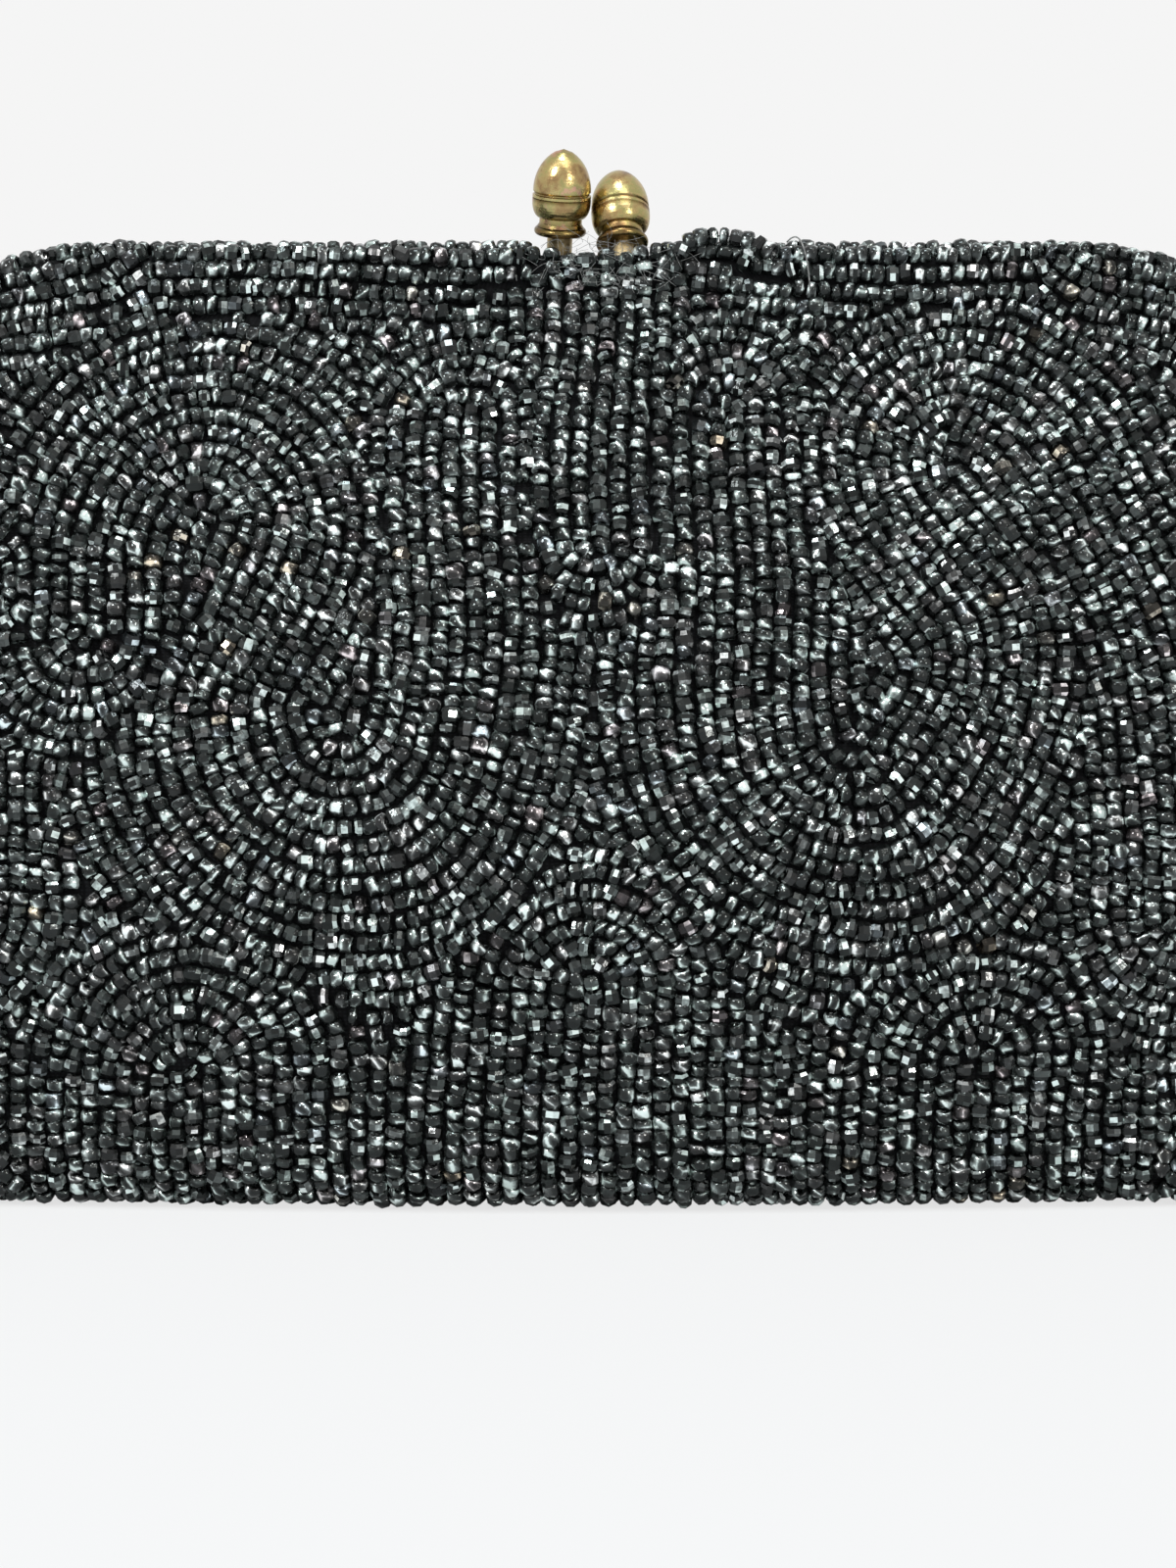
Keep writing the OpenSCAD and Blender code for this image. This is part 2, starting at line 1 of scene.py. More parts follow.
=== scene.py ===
"""Looks of a hand-beaded purse on a hinged kiss lock frame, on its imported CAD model."""
import math
import bpy
import numpy as np
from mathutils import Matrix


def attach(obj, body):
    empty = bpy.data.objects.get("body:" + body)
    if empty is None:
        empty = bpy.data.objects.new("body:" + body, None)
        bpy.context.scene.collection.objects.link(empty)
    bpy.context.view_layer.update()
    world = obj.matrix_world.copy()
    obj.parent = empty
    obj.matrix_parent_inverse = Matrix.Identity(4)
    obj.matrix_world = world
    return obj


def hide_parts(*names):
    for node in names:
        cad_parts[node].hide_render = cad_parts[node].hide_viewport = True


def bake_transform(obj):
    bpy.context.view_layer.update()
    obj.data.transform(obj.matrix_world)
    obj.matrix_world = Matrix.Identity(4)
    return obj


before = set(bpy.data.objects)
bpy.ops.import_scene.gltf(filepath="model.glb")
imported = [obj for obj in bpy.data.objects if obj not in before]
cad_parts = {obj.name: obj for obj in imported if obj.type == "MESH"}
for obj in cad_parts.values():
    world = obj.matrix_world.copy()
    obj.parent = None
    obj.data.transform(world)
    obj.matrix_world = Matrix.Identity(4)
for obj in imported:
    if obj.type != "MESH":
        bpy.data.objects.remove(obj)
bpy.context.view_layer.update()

# Camera
# The photograph is taken level, from straight in front of the bag, close
# enough for the bag to run out of the picture at both sides.
camera_x, camera_y, camera_z = -0.0004, -0.380, 0.052


def put(name, data):
    """Object of a mesh, lamp or camera, in the scene at the origin."""
    made = bpy.data.objects.new(name, data)
    bpy.context.scene.collection.objects.link(made)
    return made


camera_data = bpy.data.cameras.new("camera")
camera_data.sensor_fit = "VERTICAL"
camera_data.sensor_height = 36.0
camera_data.lens = 69.0
camera = put("camera", camera_data)
camera.location = (camera_x, camera_y, camera_z)
camera.rotation_euler = (math.radians(90), 0, 0)
bpy.context.scene.camera = camera
bpy.context.scene.view_settings.view_transform = "Standard"

# Light
# A plain white surround, a broad soft lamp over the bag and small bright
# lamps whose reflections are some of the glints on the glass; the others are
# painted into the glass's colour.
paper_white = (0.913, 0.913, 0.913, 1)
room_tint, room_strength = (0.86, 0.93, 1.0, 1), 0.40
bag_middle = (0, 0, 0.06)


def feed(tree, node, values):
    """Gives a node's inputs, by name or number, their values: a link where the
    value is another node's output."""
    for name, value in values.items():
        if isinstance(value, bpy.types.NodeSocket):
            tree.links.new(value, node.inputs[name])
        else:
            node.inputs[name].default_value = value


def new_node(tree, kind, values, operation=None):
    """Outputs of a new node of a kind, fed with its values."""
    node = tree.nodes.new(kind)
    if operation:
        node.operation = operation
    feed(tree, node, values)
    return node.outputs


def arithmetic(tree, operation, *terms):
    """One operation on terms that are numbers or outputs of other nodes."""
    return new_node(tree, "ShaderNodeMath", dict(enumerate(terms)), operation)[0]


def two_shaders(tree, share, one, other, out_kind):
    """Output node of a mix that goes from one shader to the other as the share
    goes from 0 to 1."""
    mix = new_node(tree, "ShaderNodeMixShader", {0: share, 1: one, 2: other})[0]
    new_node(tree, out_kind, {"Surface": mix})


def lamp(name, place, size, watts, colour):
    """Square area lamp at a place, turned so that its light leaves towards the
    middle of the bag."""
    data = bpy.data.lights.new(name, "AREA")
    data.size = size
    data.energy = watts
    data.color = colour
    ob = put(name, data)
    ob.location = place
    away = np.array(place, float) - bag_middle
    turn = math.atan2(away[0], -away[1])
    ob.rotation_euler = (math.atan2(math.hypot(away[0], away[1]), away[2]), 0, turn)


world = bpy.data.worlds.new("studio")
bpy.context.scene.world = world
world.use_nodes = True
world_tree = world.node_tree
world_tree.nodes.clear()
ray = new_node(world_tree, "ShaderNodeLightPath", {})
seen = arithmetic(world_tree, "MAXIMUM", ray["Is Camera Ray"], ray["Is Glossy Ray"])
seen = arithmetic(world_tree, "MAXIMUM", seen, ray["Is Transmission Ray"])
room = new_node(world_tree, "ShaderNodeBackground",
                {"Color": room_tint, "Strength": room_strength})[0]
backdrop = new_node(world_tree, "ShaderNodeBackground", {"Color": paper_white})[0]
two_shaders(world_tree, seen, room, backdrop, "ShaderNodeOutputWorld")
lamp("soft_lamp", (0.25, -0.60, 0.95), 0.50, 2.2, (1.0, 0.98, 0.95))
lamp("window_lamp", (-0.55, -0.70, 0.62), 0.24, 5.4, (0.95, 0.98, 1.0))
lamp("ring_lamp", (0.50, -0.80, 0.30), 0.17, 2.1, (1.0, 0.98, 0.95))
lamp("top_lamp", (-0.05, -0.25, 0.90), 0.22, 2.8, (0.86, 0.95, 1.0))

# Floor
# The bag stands on plain white card. The camera sees it nearly white all over,
# apart from the bag's soft shadow.
floor_half, card_glow = 1.5, 0.80
floor_mesh = bpy.data.meshes.new("floor")
floor_mesh.from_pydata(
    [(-floor_half, -floor_half, 0), (floor_half, -floor_half, 0),
     (floor_half, floor_half, 0), (-floor_half, floor_half, 0)], [], [(0, 1, 2, 3)])
floor = put("floor", floor_mesh)
card = bpy.data.materials.new("white_card")
card.use_nodes = True
card_tree = card.node_tree
card_tree.nodes.clear()
ray = new_node(card_tree, "ShaderNodeLightPath", {})
seen = arithmetic(card_tree, "MULTIPLY", ray["Is Camera Ray"], card_glow)
matt = new_node(card_tree, "ShaderNodeBsdfDiffuse", {"Color": (0.80, 0.80, 0.80, 1)})[0]
glow = new_node(card_tree, "ShaderNodeEmission", {"Color": paper_white})[0]
two_shaders(card_tree, seen, matt, glow, "ShaderNodeOutputMaterial")
floor_mesh.materials.append(card)


# Frame
# Two channel rails of plated steel, folded from strip and hinged at both ends
# by peened brass pins. Each carries a brass lock arm, riveted in its channel.


def new_material(name):
    """Empty node material, with its tree, its shader and the place on the piece."""
    made = bpy.data.materials.new(name)
    made.use_nodes = True
    tree = made.node_tree
    tree.nodes.clear()
    shader = tree.nodes.new("ShaderNodeBsdfPrincipled")
    new_node(tree, "ShaderNodeOutputMaterial", {"Surface": shader.outputs["BSDF"]})
    return made, tree, shader, new_node(tree, "ShaderNodeTexCoord", {})["Object"]


def noise(tree, place, scale, detail):
    """Noise texture of a given number of waves per metre."""
    return new_node(tree, "ShaderNodeTexNoise", {
        "Vector": place, "Scale": scale, "Detail": detail, "Roughness": 0.6})["Fac"]


def ramp(tree, value, stops):
    """Colour ramp with a list of (position, colour) stops."""
    node = tree.nodes.new("ShaderNodeValToRGB")
    while len(node.color_ramp.elements) < len(stops):
        node.color_ramp.elements.new(0.5)
    for element, (position, colour) in zip(node.color_ramp.elements, stops):
        element.position = position
        element.color = (*colour, 1)
    tree.links.new(value, node.inputs["Fac"])
    return node.outputs["Color"]


def ranged(tree, value, low, high, top=1.0):
    """Value from 0 to top, mapped to the range from low to high."""
    return new_node(tree, "ShaderNodeMapRange", {
        "Value": value, "From Max": top, "To Min": low, "To Max": high})["Result"]


def bump(tree, height, depth, strength, shader):
    """Bump of a given depth in metres, put on the shader's normal."""
    feed(tree, shader, {"Normal": new_node(tree, "ShaderNodeBump", {
        "Height": height, "Distance": depth, "Strength": strength})["Normal"]})


def aged_metal(name, bright, dull, dark, gloss, grain):
    """Metal whose plating goes from bright to dull and dark in patches, with fine
    scratches and a roughness that follows the patches."""
    made, tree, shader, place = new_material(name)
    patches = noise(tree, place, grain, 6)
    colour = ramp(tree, patches, [(0.32, dark), (0.47, dull), (0.68, bright)])
    feed(tree, shader, {"Base Color": colour, "Metallic": 1.0,
                        "Roughness": ranged(tree, patches, gloss * 0.6, gloss * 1.9)})
    bump(tree, noise(tree, place, grain * 9, 4), 0.00004, 0.5, shader)
    return made


def dress(material, *names):
    """Gives CAD nodes a material in place of their plain one."""
    for name in names:
        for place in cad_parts[name].material_slots:
            place.material = material


plated_steel = aged_metal("plated_steel", (0.46, 0.44, 0.41), (0.31, 0.30, 0.28),
                          (0.12, 0.10, 0.08), 0.34, 420)
pin_brass = aged_metal("pin_brass", (0.66, 0.50, 0.27), (0.42, 0.31, 0.16),
                       (0.14, 0.10, 0.05), 0.30, 900)
arm_brass = aged_metal("arm_brass", (0.52, 0.41, 0.23), (0.31, 0.24, 0.13),
                       (0.09, 0.07, 0.04), 0.34, 700)
dress(plated_steel, "back_frame_rail", "front_frame_rail")
dress(pin_brass, "left_hinge_pin", "right_hinge_pin", "back_arm_rivets", "front_arm_rivets")
dress(arm_brass, "back_lock_arm", "front_lock_arm")


# Padding
# A thin quilt of cotton wadding lies behind the beaded cloth of each half and
# gives the bag its full, soft belly. It ends in an arch below the frame.
halves = (("front", -1), ("back", 1))
bag_h, bag_w, bag_d = 0.120, 0.212, 0.044
hinge_z = 0.0781
widest_z, fullest_z = 0.040, 0.042
base_w, base_d = 0.176, 0.024
low_w, low_d = 0.206, 0.036
base_round_h, base_round_d = 0.014, 0.008
corner_x, corner_z = 0.061, 0.0851
side_reach, top_reach = 0.0368, 0.0349
neck_half_w = corner_x + side_reach
band_half_d, band_z, top_round = 0.0071, 0.1121, 0.0032
fall_power, crown_power, crowding = 1.8, 1.2, 1.6
edge_run_low, edge_run_high, least_edge = 0.016, 0.0036, 0.001
edge_from, edge_to = widest_z + 0.010, hinge_z + 0.014
edge_share_low = 0.6
face_share = 0.75
ease_from, arch_ease = 0.1036, 0.004
base_rows = 8


def smooth(t):
    """Three t squared less two t cubed, with t held between 0 and 1."""
    u = np.clip(t, 0, 1)
    return u * u * (3 - 2 * u)


def quarter(run, full):
    """Height of a unit quarter circle at the share run / full of its radius."""
    return np.sqrt(np.clip(1 - (run / full) ** 2, 0, None))


def lower_part(z, inset, base, low, full, round_h, full_z):
    """Half of a width or depth below the height where it is full: eased down
    to low at the top of the base's round, then a quarter ellipse to the base."""
    eased = low / 2 - inset + (full - low) / 2 * smooth((z - round_h) / (full_z - round_h))
    foot = base / 2 + ((low - base) / 2 - inset) * quarter(round_h - z, round_h - inset)
    return np.where(z > round_h, eased, foot)


def half_width(z, inset):
    """Half width at a height: an ellipse over the frame's corner, an eased
    waist down to the widest height, and the lower part."""
    corner = corner_x + (side_reach - inset) * quarter(z - corner_z, top_reach - inset)
    neck = bag_w / 2 - inset - (bag_w / 2 - neck_half_w) * smooth(
        (z - widest_z) / (corner_z - widest_z))
    return np.select([z > corner_z, z > widest_z], [corner, neck], lower_part(
        z, inset, base_w, low_w, bag_w, base_round_h, widest_z))


def crown(z, inset):
    """Half depth at a height: a round over the rail, the rail's flat band, a
    power curve down to the fullest height, and the lower part."""
    round_r = np.maximum(top_round - inset, 0.0001)
    over = band_half_d - top_round + round_r * quarter(z - bag_h + top_round, round_r)
    fall = np.clip((z - fullest_z) / (band_z - fullest_z), 0, 1) ** fall_power
    belly = band_half_d - inset + (bag_d / 2 - band_half_d) * (1 - fall)
    return np.select([z > bag_h - top_round, z > fullest_z], [over, belly], lower_part(
        z, inset, base_d, low_d, bag_d, base_round_d, fullest_z))


def section(z, inset, t):
    """Point of the level section at height z. The first three quarters of t
    run over the face, whose crown is one less w squared, raised to
    crown_power, and the rest round a quarter ellipse to the side seam."""
    a = half_width(z, inset)
    c = crown(z, inset)
    r = np.maximum(least_edge, edge_run_low - inset - (edge_run_low - edge_run_high)
                   * smooth((z - edge_from) / (edge_to - edge_from)))
    rise = smooth((z - edge_from) / (band_z - edge_from))
    e = np.minimum(c, crown(z, 0) * (edge_share_low + (1 - edge_share_low) * rise) - inset)
    w = np.abs(t) / face_share
    turn = np.pi / 2 * np.clip((np.abs(t) - face_share) / (1 - face_share), 0, 1)
    on_face = w <= 1
    x = np.where(on_face, (a - r) * w, a - r + r * np.sin(turn)) * np.sign(t)
    y = np.where(on_face, e + (c - e) * np.clip(1 - w * w, 0, 1) ** crown_power,
                 e * np.cos(turn))
    return x, y


def arch_z(x, r, low):
    """Flat over the middle, a circle over the frame's corner, then eased down."""
    over = np.abs(x) - corner_x
    round_z = np.maximum(low, corner_z + np.sqrt(np.clip(r * r - over * over, 0, None)))
    down = low + max(0, corner_z - low) * (1 - smooth((over - r) / arch_ease))
    return np.select([over <= 0, over < r], [corner_z + r, round_z], down)


def eased_inset(z, inset, top_inset):
    """Inset at a height: it eases from one value above the wadding to another
    at the foot of the rail."""
    return inset + (top_inset - inset) * smooth((z - ease_from) / (band_z - ease_from))


def wall(inset, side, tops, columns, rows, top_inset=None, seam=0.0001):
    """Grid of points over one half of the bag, from the seam under the base,
    over the flat base and its round, up to the heights given in tops. side
    is -1 for the front and 1 for the back. The rows crowd towards the rail,
    and the surface may ease to another inset there."""
    t = np.linspace(-1, 1, columns)
    base_x, base_y = section(np.array(inset), inset, t)
    flat = np.linspace(0, 1, base_rows)[:-1, None]
    flat_y = seam + (np.maximum(base_y, seam) - seam) * flat
    flat_x = base_x * (0.97 + 0.03 * flat)
    flat_z = np.full_like(flat_x, inset)
    turn = np.linspace(0, np.pi / 2, base_rows)
    round_z = inset + (base_round_h - inset) * (1 - np.cos(turn))
    up = 1 - (1 - np.linspace(0, 1, rows)[1:, None]) ** crowding
    wall_z = np.vstack([np.repeat(round_z[:, None], columns, 1),
                        base_round_h + (tops - base_round_h) * up])
    eased = inset if top_inset is None else eased_inset(wall_z, inset, top_inset)
    wall_x, wall_y = section(wall_z, eased, t)
    x = np.vstack([flat_x, wall_x])
    y = np.vstack([flat_y, np.maximum(wall_y, seam)]) * side
    z = np.vstack([flat_z, wall_z])
    return np.stack([x, y, z], -1)


def sheet_mesh(name, outer, inner, material):
    """Closed sheet between two grids of points: both faces and the strip round
    their edge, turned outwards by the sign of the volume they enclose."""
    rows, cols = outer.shape[:2]
    at = np.arange(rows * cols).reshape(rows, cols)
    face = np.stack([at[:-1, :-1], at[1:, :-1], at[1:, 1:], at[:-1, 1:]], -1).reshape(-1, 4)
    rim = np.concatenate([at[0, :-1], at[:-1, -1], at[-1, :0:-1], at[:0:-1, 0]])
    after = np.roll(rim, -1)
    back = rows * cols
    edge = np.stack([rim, after, after + back, rim + back], -1)
    quads = np.vstack([face, face[:, ::-1] + back, edge])
    points = np.vstack([outer.reshape(-1, 3), inner.reshape(-1, 3)])
    a, b, c, d = (points[quads[:, k]] for k in range(4))
    if np.sum(np.cross(c - a, d - b) * (a + b + c + d)) < 0:
        quads = quads[:, ::-1]
    mesh = bpy.data.meshes.new(name)
    mesh.from_pydata(points, [], quads.tolist(), shade_flat=False)
    u, v = np.meshgrid(np.linspace(0, 1, cols), np.linspace(0, 1, rows))
    way = np.stack([u.ravel(), v.ravel()], -1)
    lay = mesh.uv_layers.new(name="weave")
    corner = np.empty(len(mesh.loops), np.int32)
    mesh.loops.foreach_get("vertex_index", corner)
    lay.data.foreach_set("uv", np.vstack([way, way])[corner].ravel().astype(np.float32))
    mesh.materials.append(material)
    return put(name, mesh)


def ride_half(piece, side):
    """The back rides with the bag. The front only has its place baked into its
    points and is left unattached."""
    if side < 0:
        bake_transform(piece)
    else:
        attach(piece, "bag")


def uneven(shape, seed, size):
    """Low, soft lumps: sums of a few sine waves over a grid of points."""
    draw = np.random.default_rng(seed)
    total = np.zeros(shape.shape[:2])
    waves, slowest, fastest = 6, 60, 260
    for _ in range(waves):
        kx, kz = draw.uniform(slowest, fastest, 2) * draw.choice([-1, 1], 2)
        total += np.sin(shape[..., 0] * kx + shape[..., 2] * kz + draw.uniform(0, 6.3))
    return total * size / waves


def spun(name, stops, roughness, mottle, hairs, depth, strength):
    """Matt cotton or thread: a ramp of colours over coarse noise, and a bump of
    fine hairs. mottle and hairs are each a noise's waves per metre and detail."""
    made, tree, shader, place = new_material(name)
    feed(tree, shader, {"Base Color": ramp(tree, noise(tree, place, *mottle), stops),
                        "Roughness": roughness})
    bump(tree, noise(tree, place, *hairs), depth, strength, shader)
    return made


cotton = spun("cotton_wadding",
              [(0.30, (0.46, 0.43, 0.37)), (0.55, (0.63, 0.60, 0.53)), (0.75, (0.72, 0.70, 0.64))],
              0.95, (260, 8), (1400, 6), 0.0006, 0.8)
wadding_in, wadding_t, wadding_lump = 0.0031, 0.0016, 0.0001
wadding_arch = 0.0180
arch_level, arch_foot = hinge_z + 0.016, hinge_z - 0.011
pad_columns, pad_rows = 97, 61
column_x = section(np.array(arch_level), 0, np.linspace(-1, 1, pad_columns))[0]
wadding_tops = arch_z(column_x, wadding_arch, arch_foot)
for half, side in halves:
    outer, inner = (wall(inset, side, wadding_tops, pad_columns, pad_rows)
                    for inset in (wadding_in, wadding_in + wadding_t))
    outer[..., 1] -= side * (wadding_lump + uneven(outer, 5, wadding_lump))
    pad = sheet_mesh("wadding_" + half, outer, inner, cotton)
    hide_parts(half + "_wadding")
    ride_half(pad, side)


# Lining
# Dark rayon lining, one piece for each half, sewn to the rails through their
# holes and gathered a little below them. Its open edge has a turned hem.
lining_in, lining_t = 0.0052, 0.0006
front_rail_in = 0.0031
lining_arch = 0.0267
lining_columns, lining_rows = 97, 70
wrinkle_depth, gather_depth = 0.00045, 0.0005
wrinkle_from, wrinkle_run = 0.008, 0.02
gather_from, gather_run = 0.062, 0.05
gather_waves, gather_drift = 520, 75
hem_r, hem_sides = 0.0005, 8


def woven(name, thread, shade, gap, threads, sheen):
    """Plain weave of crossing sine ridges along the cloth's own width and
    length, in two shades of thread with dark gaps, uneven in patches."""
    made, tree, shader, place = new_material(name)
    way = tree.nodes.new("ShaderNodeUVMap")
    way.uv_map = "weave"
    ridges = []
    for direction in ("X", "Y"):
        wave = tree.nodes.new("ShaderNodeTexWave")
        wave.bands_direction = direction
        feed(tree, wave, {"Vector": way.outputs["UV"], "Scale": threads, "Distortion": 0.6,
                          "Detail": 1.0})
        ridges.append(wave.outputs["Fac"])
    both = arithmetic(tree, "MULTIPLY", *ridges)
    mottled = arithmetic(tree, "MULTIPLY_ADD", noise(tree, place, 160, 6), 0.55, both)
    colour = ramp(tree, mottled, [(0.15, gap), (0.55, shade), (1.0, thread)])
    feed(tree, shader, {"Base Color": colour, "Roughness": 0.72, "Sheen Weight": sheen})
    bump(tree, both, 0.00005, 0.7, shader)
    return made


rayon = woven("rayon_lining", (0.060, 0.062, 0.068), (0.034, 0.035, 0.039),
              (0.008, 0.008, 0.009), 420, 0.35)
hem_cloth = woven("rayon_hem", (0.075, 0.078, 0.085), (0.045, 0.046, 0.052),
                  (0.012, 0.012, 0.014), 60, 0.35)


def unit(ways, least=0.0):
    """Ways of length one: each divided by its own length, plus least."""
    return ways / (np.linalg.norm(ways, axis=-1, keepdims=True) + least)


def round_rolls(name, paths, radius, sides, across, material):
    """Round rolls in one mesh: a ring of equal steps carried along each path,
    square to it, closed by a point at either end. The ring starts square to
    the way across, and all paths have equally many points."""
    paths = np.asarray(paths, float)
    count, steps = paths.shape[:2]
    along = unit(np.gradient(paths, axis=1))
    out = unit(np.cross(along, across))
    up = np.cross(out, along)
    turn = (np.arange(sides) * 2 * np.pi / sides)[:, None]
    ring = paths[:, :, None] + radius * (np.cos(turn) * out[:, :, None]
                                         + np.sin(turn) * up[:, :, None])
    points = np.concatenate([ring.reshape(count, -1, 3), paths[:, :1], paths[:, -1:]], axis=1)
    at = np.arange(steps * sides).reshape(steps, sides)
    after = np.roll(at, -1, axis=1)
    tube = np.stack([at[:-1], at[1:], after[1:], after[:-1]], -1).reshape(-1, 4)
    first = np.full(sides, steps * sides)
    ends = np.vstack([np.stack([at[0], after[0], first], -1),
                      np.stack([after[-1], at[-1], first + 1], -1)])
    shift = np.arange(count)[:, None, None] * (steps * sides + 2)
    mesh = bpy.data.meshes.new(name)
    mesh.from_pydata(points.reshape(-1, 3), [], (tube + shift).reshape(-1, 4).tolist()
                     + (ends + shift).reshape(-1, 3).tolist(), shade_flat=False)
    mesh.materials.append(material)
    return put(name, mesh)


def hem_roll(name, path):
    """Turned hem: the cloth rolled round a path of points."""
    made = round_rolls(name, [path], hem_r, hem_sides, (0, 0, 1.0), hem_cloth)
    made.data.uv_layers.new(name="weave")
    return made


lining_across = np.linspace(-1, 1, lining_columns)
for (half, side), top_in in zip(halves, (front_rail_in, lining_in)):
    # A column's top and its distance from the middle depend on each other, so
    # both are found in rounds
    lining_tops = np.full(lining_columns, arch_level)
    for _ in range(30):
        lining_x = section(lining_tops, eased_inset(lining_tops, lining_in, top_in),
                           lining_across)[0]
        lining_tops += (arch_z(lining_x, lining_arch, arch_foot) - lining_tops) / 3
    outer, inner = (wall(lining_in + depth, side, lining_tops, lining_columns, lining_rows,
                         top_in + depth) for depth in (0, lining_t))
    wrinkle = uneven(outer, 9, wrinkle_depth) * smooth((outer[..., 2] - wrinkle_from)
                                                       / wrinkle_run)
    gather = np.sin(outer[..., 0] * gather_waves
                    + 2 * np.sin(outer[..., 0] * gather_drift + 1))
    wrinkle += gather_depth * gather * smooth((outer[..., 2] - gather_from) / gather_run)
    outer[..., 1] -= side * np.abs(wrinkle)
    inner[..., 1] -= side * np.abs(wrinkle)
    lining = sheet_mesh("lining_" + half, outer, inner, rayon)
    hem = hem_roll("lining_hem_" + half, (outer[-1] + inner[-1]) / 2)
    for piece in (lining, hem):
        ride_half(piece, side)
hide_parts("front_lining", "front_lining_rim")
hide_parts("back_lining")

# Slip pocket
# A flat pocket of the same lining, sewn on the back half round three sides.
# Its open edge sags a little and has a turned hem too.
pocket_in, pocket_w, pocket_h, pocket_foot = 0.0068, 0.084, 0.050, 0.032
pocket_columns, pocket_rows, pocket_sag = 49, 33, 0.0006
pocket_across = np.linspace(-1, 1, pocket_columns)
pocket_up = np.linspace(0, 1, pocket_rows)[:, None]
pocket_t = pocket_across * face_share * pocket_w / 2 / (
    half_width(np.array(widest_z), pocket_in) - edge_run_low + pocket_in)
pocket_z = np.linspace(pocket_foot, pocket_foot + pocket_h, pocket_rows)[:, None] + 0 * pocket_t
sag = pocket_sag * np.cos(np.pi / 2 * pocket_across) * pocket_up ** 2
pocket_grids = []
for inset in (pocket_in, pocket_in + lining_t):
    x, y = section(pocket_z, inset, pocket_t)
    pocket_grids.append(np.stack([x, y - sag, pocket_z - sag], -1))
pocket = sheet_mesh("slip_pocket", *pocket_grids, rayon)
pocket_hem = hem_roll("slip_pocket_hem", pocket_grids[0][-1])
for piece in (pocket, pocket_hem):
    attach(piece, "bag")
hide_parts("lining_pocket")


# Beaded cloth
# Black rayon ground of each half, drawn over its rail and turned in at the
# mouth, with a slit in the middle where the posts of the knobs come through.
cloth_out, cloth_in = 0.0019, 0.0026
mouth_half = 0.0002
slit_half_w, slit_h, slit_back = 0.0070, 0.0035, 0.0043
cloth_columns, cloth_rows, turn_rows, land_rows = 161, 110, 6, 4


def shell(inset, side, columns, rows):
    """The whole outside of one half: the wall up to the rail, a quarter round
    over the rail's edge, and the flat turned in to the mouth."""
    t = np.linspace(-1, 1, columns)
    low = wall(inset, side, np.full(columns, bag_h - top_round), columns, rows)
    turn = np.linspace(0, np.pi / 2, turn_rows + 1)[1:, None]
    round_z = bag_h - top_round + (top_round - inset) * np.sin(turn) + 0 * t
    round_x, round_y = section(round_z, inset, t)
    share = np.linspace(0, 1, land_rows + 1)[1:, None]
    land_x = round_x[-1] * (1 - 0.03 * share)
    land_y = np.maximum(round_y[-1], mouth_half) * (1 - share) + mouth_half * share
    x = np.vstack([round_x, land_x])
    y = np.vstack([np.maximum(round_y, mouth_half), land_y]) * side
    z = np.vstack([round_z, np.full_like(land_x, bag_h - inset)])
    return np.vstack([low, np.stack([x, y, z], -1)])


ground = woven("black_ground", (0.010, 0.011, 0.012), (0.005, 0.005, 0.006),
               (0.001, 0.001, 0.001), 120, 0.0)
ground.node_tree.nodes["Principled BSDF"].inputs["Specular IOR Level"].default_value = 0.15
for half, side in halves:
    sheets = [shell(inset, side, cloth_columns, cloth_rows) for inset in (cloth_out, cloth_in)]
    for grid in sheets:
        in_slit = (np.abs(grid[..., 0]) < slit_half_w) & (grid[..., 2] > bag_h - slit_h)
        grid[..., 1] = np.where(in_slit, side * np.maximum(np.abs(grid[..., 1]), slit_back),
                                grid[..., 1])
    cloth = sheet_mesh("beaded_cloth_" + half, *sheets, ground)
    ride_half(cloth, side)
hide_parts("front_cover", "front_cover_rim")
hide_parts("back_cover")


# Stitches
# Waxed black thread sews the turned edges of cover and lining to each rail. It
# runs from hole to hole along the rail's inner face, round both corners.
stitch_r, rail_face, hole_dip = 0.00012, 0.00016, 0.0008
hole_pitch, hole_r, straight_holes, corner_holes = 0.008, 0.0295, 7, 5
knob_x, arm_half = 0.0041, 0.0102
stitch_steps, longest_stitch, dip_share = 15, 1.8, 0.1
thread_sides, thread_across = 5, (0.3, 0.9, 0.2)
black_thread = spun("waxed_thread",
                    [(0.35, (0.010, 0.010, 0.011)), (0.65, (0.045, 0.045, 0.048))],
                    0.55, (3000, 3), (9000, 2), 0.00004, 0.6)
for half, side in halves:
    straight = np.arange(-straight_holes, straight_holes + 1) * hole_pitch
    straight = straight[np.abs(straight + side * knob_x) > arm_half]
    turned = corner_x + np.arange(1, corner_holes + 1) * hole_pitch
    holes = np.concatenate([-turned[::-1], straight, turned])
    # No stitch crosses the lock arm, which covers the holes in the middle
    short = np.diff(holes) < longest_stitch * hole_pitch
    share = np.linspace(0, 1, stitch_steps)
    along = holes[:-1][short][:, None] + np.diff(holes)[short][:, None] * share
    turn = np.clip(np.abs(along) - corner_x, 0, None) / hole_r
    dip = hole_dip * (1 - smooth(np.minimum(share, 1 - share) / dip_share))
    stitch_paths = np.stack([
        np.sign(along) * (np.minimum(np.abs(along), corner_x) + hole_r * np.sin(turn)),
        side * (rail_face + dip) + 0 * along, corner_z + hole_r * np.cos(turn)], -1)
    stitches = round_rolls("stitches_" + half, stitch_paths, stitch_r, thread_sides,
                           thread_across, black_thread)
    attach(stitches, "front_frame" if side < 0 else "bag")


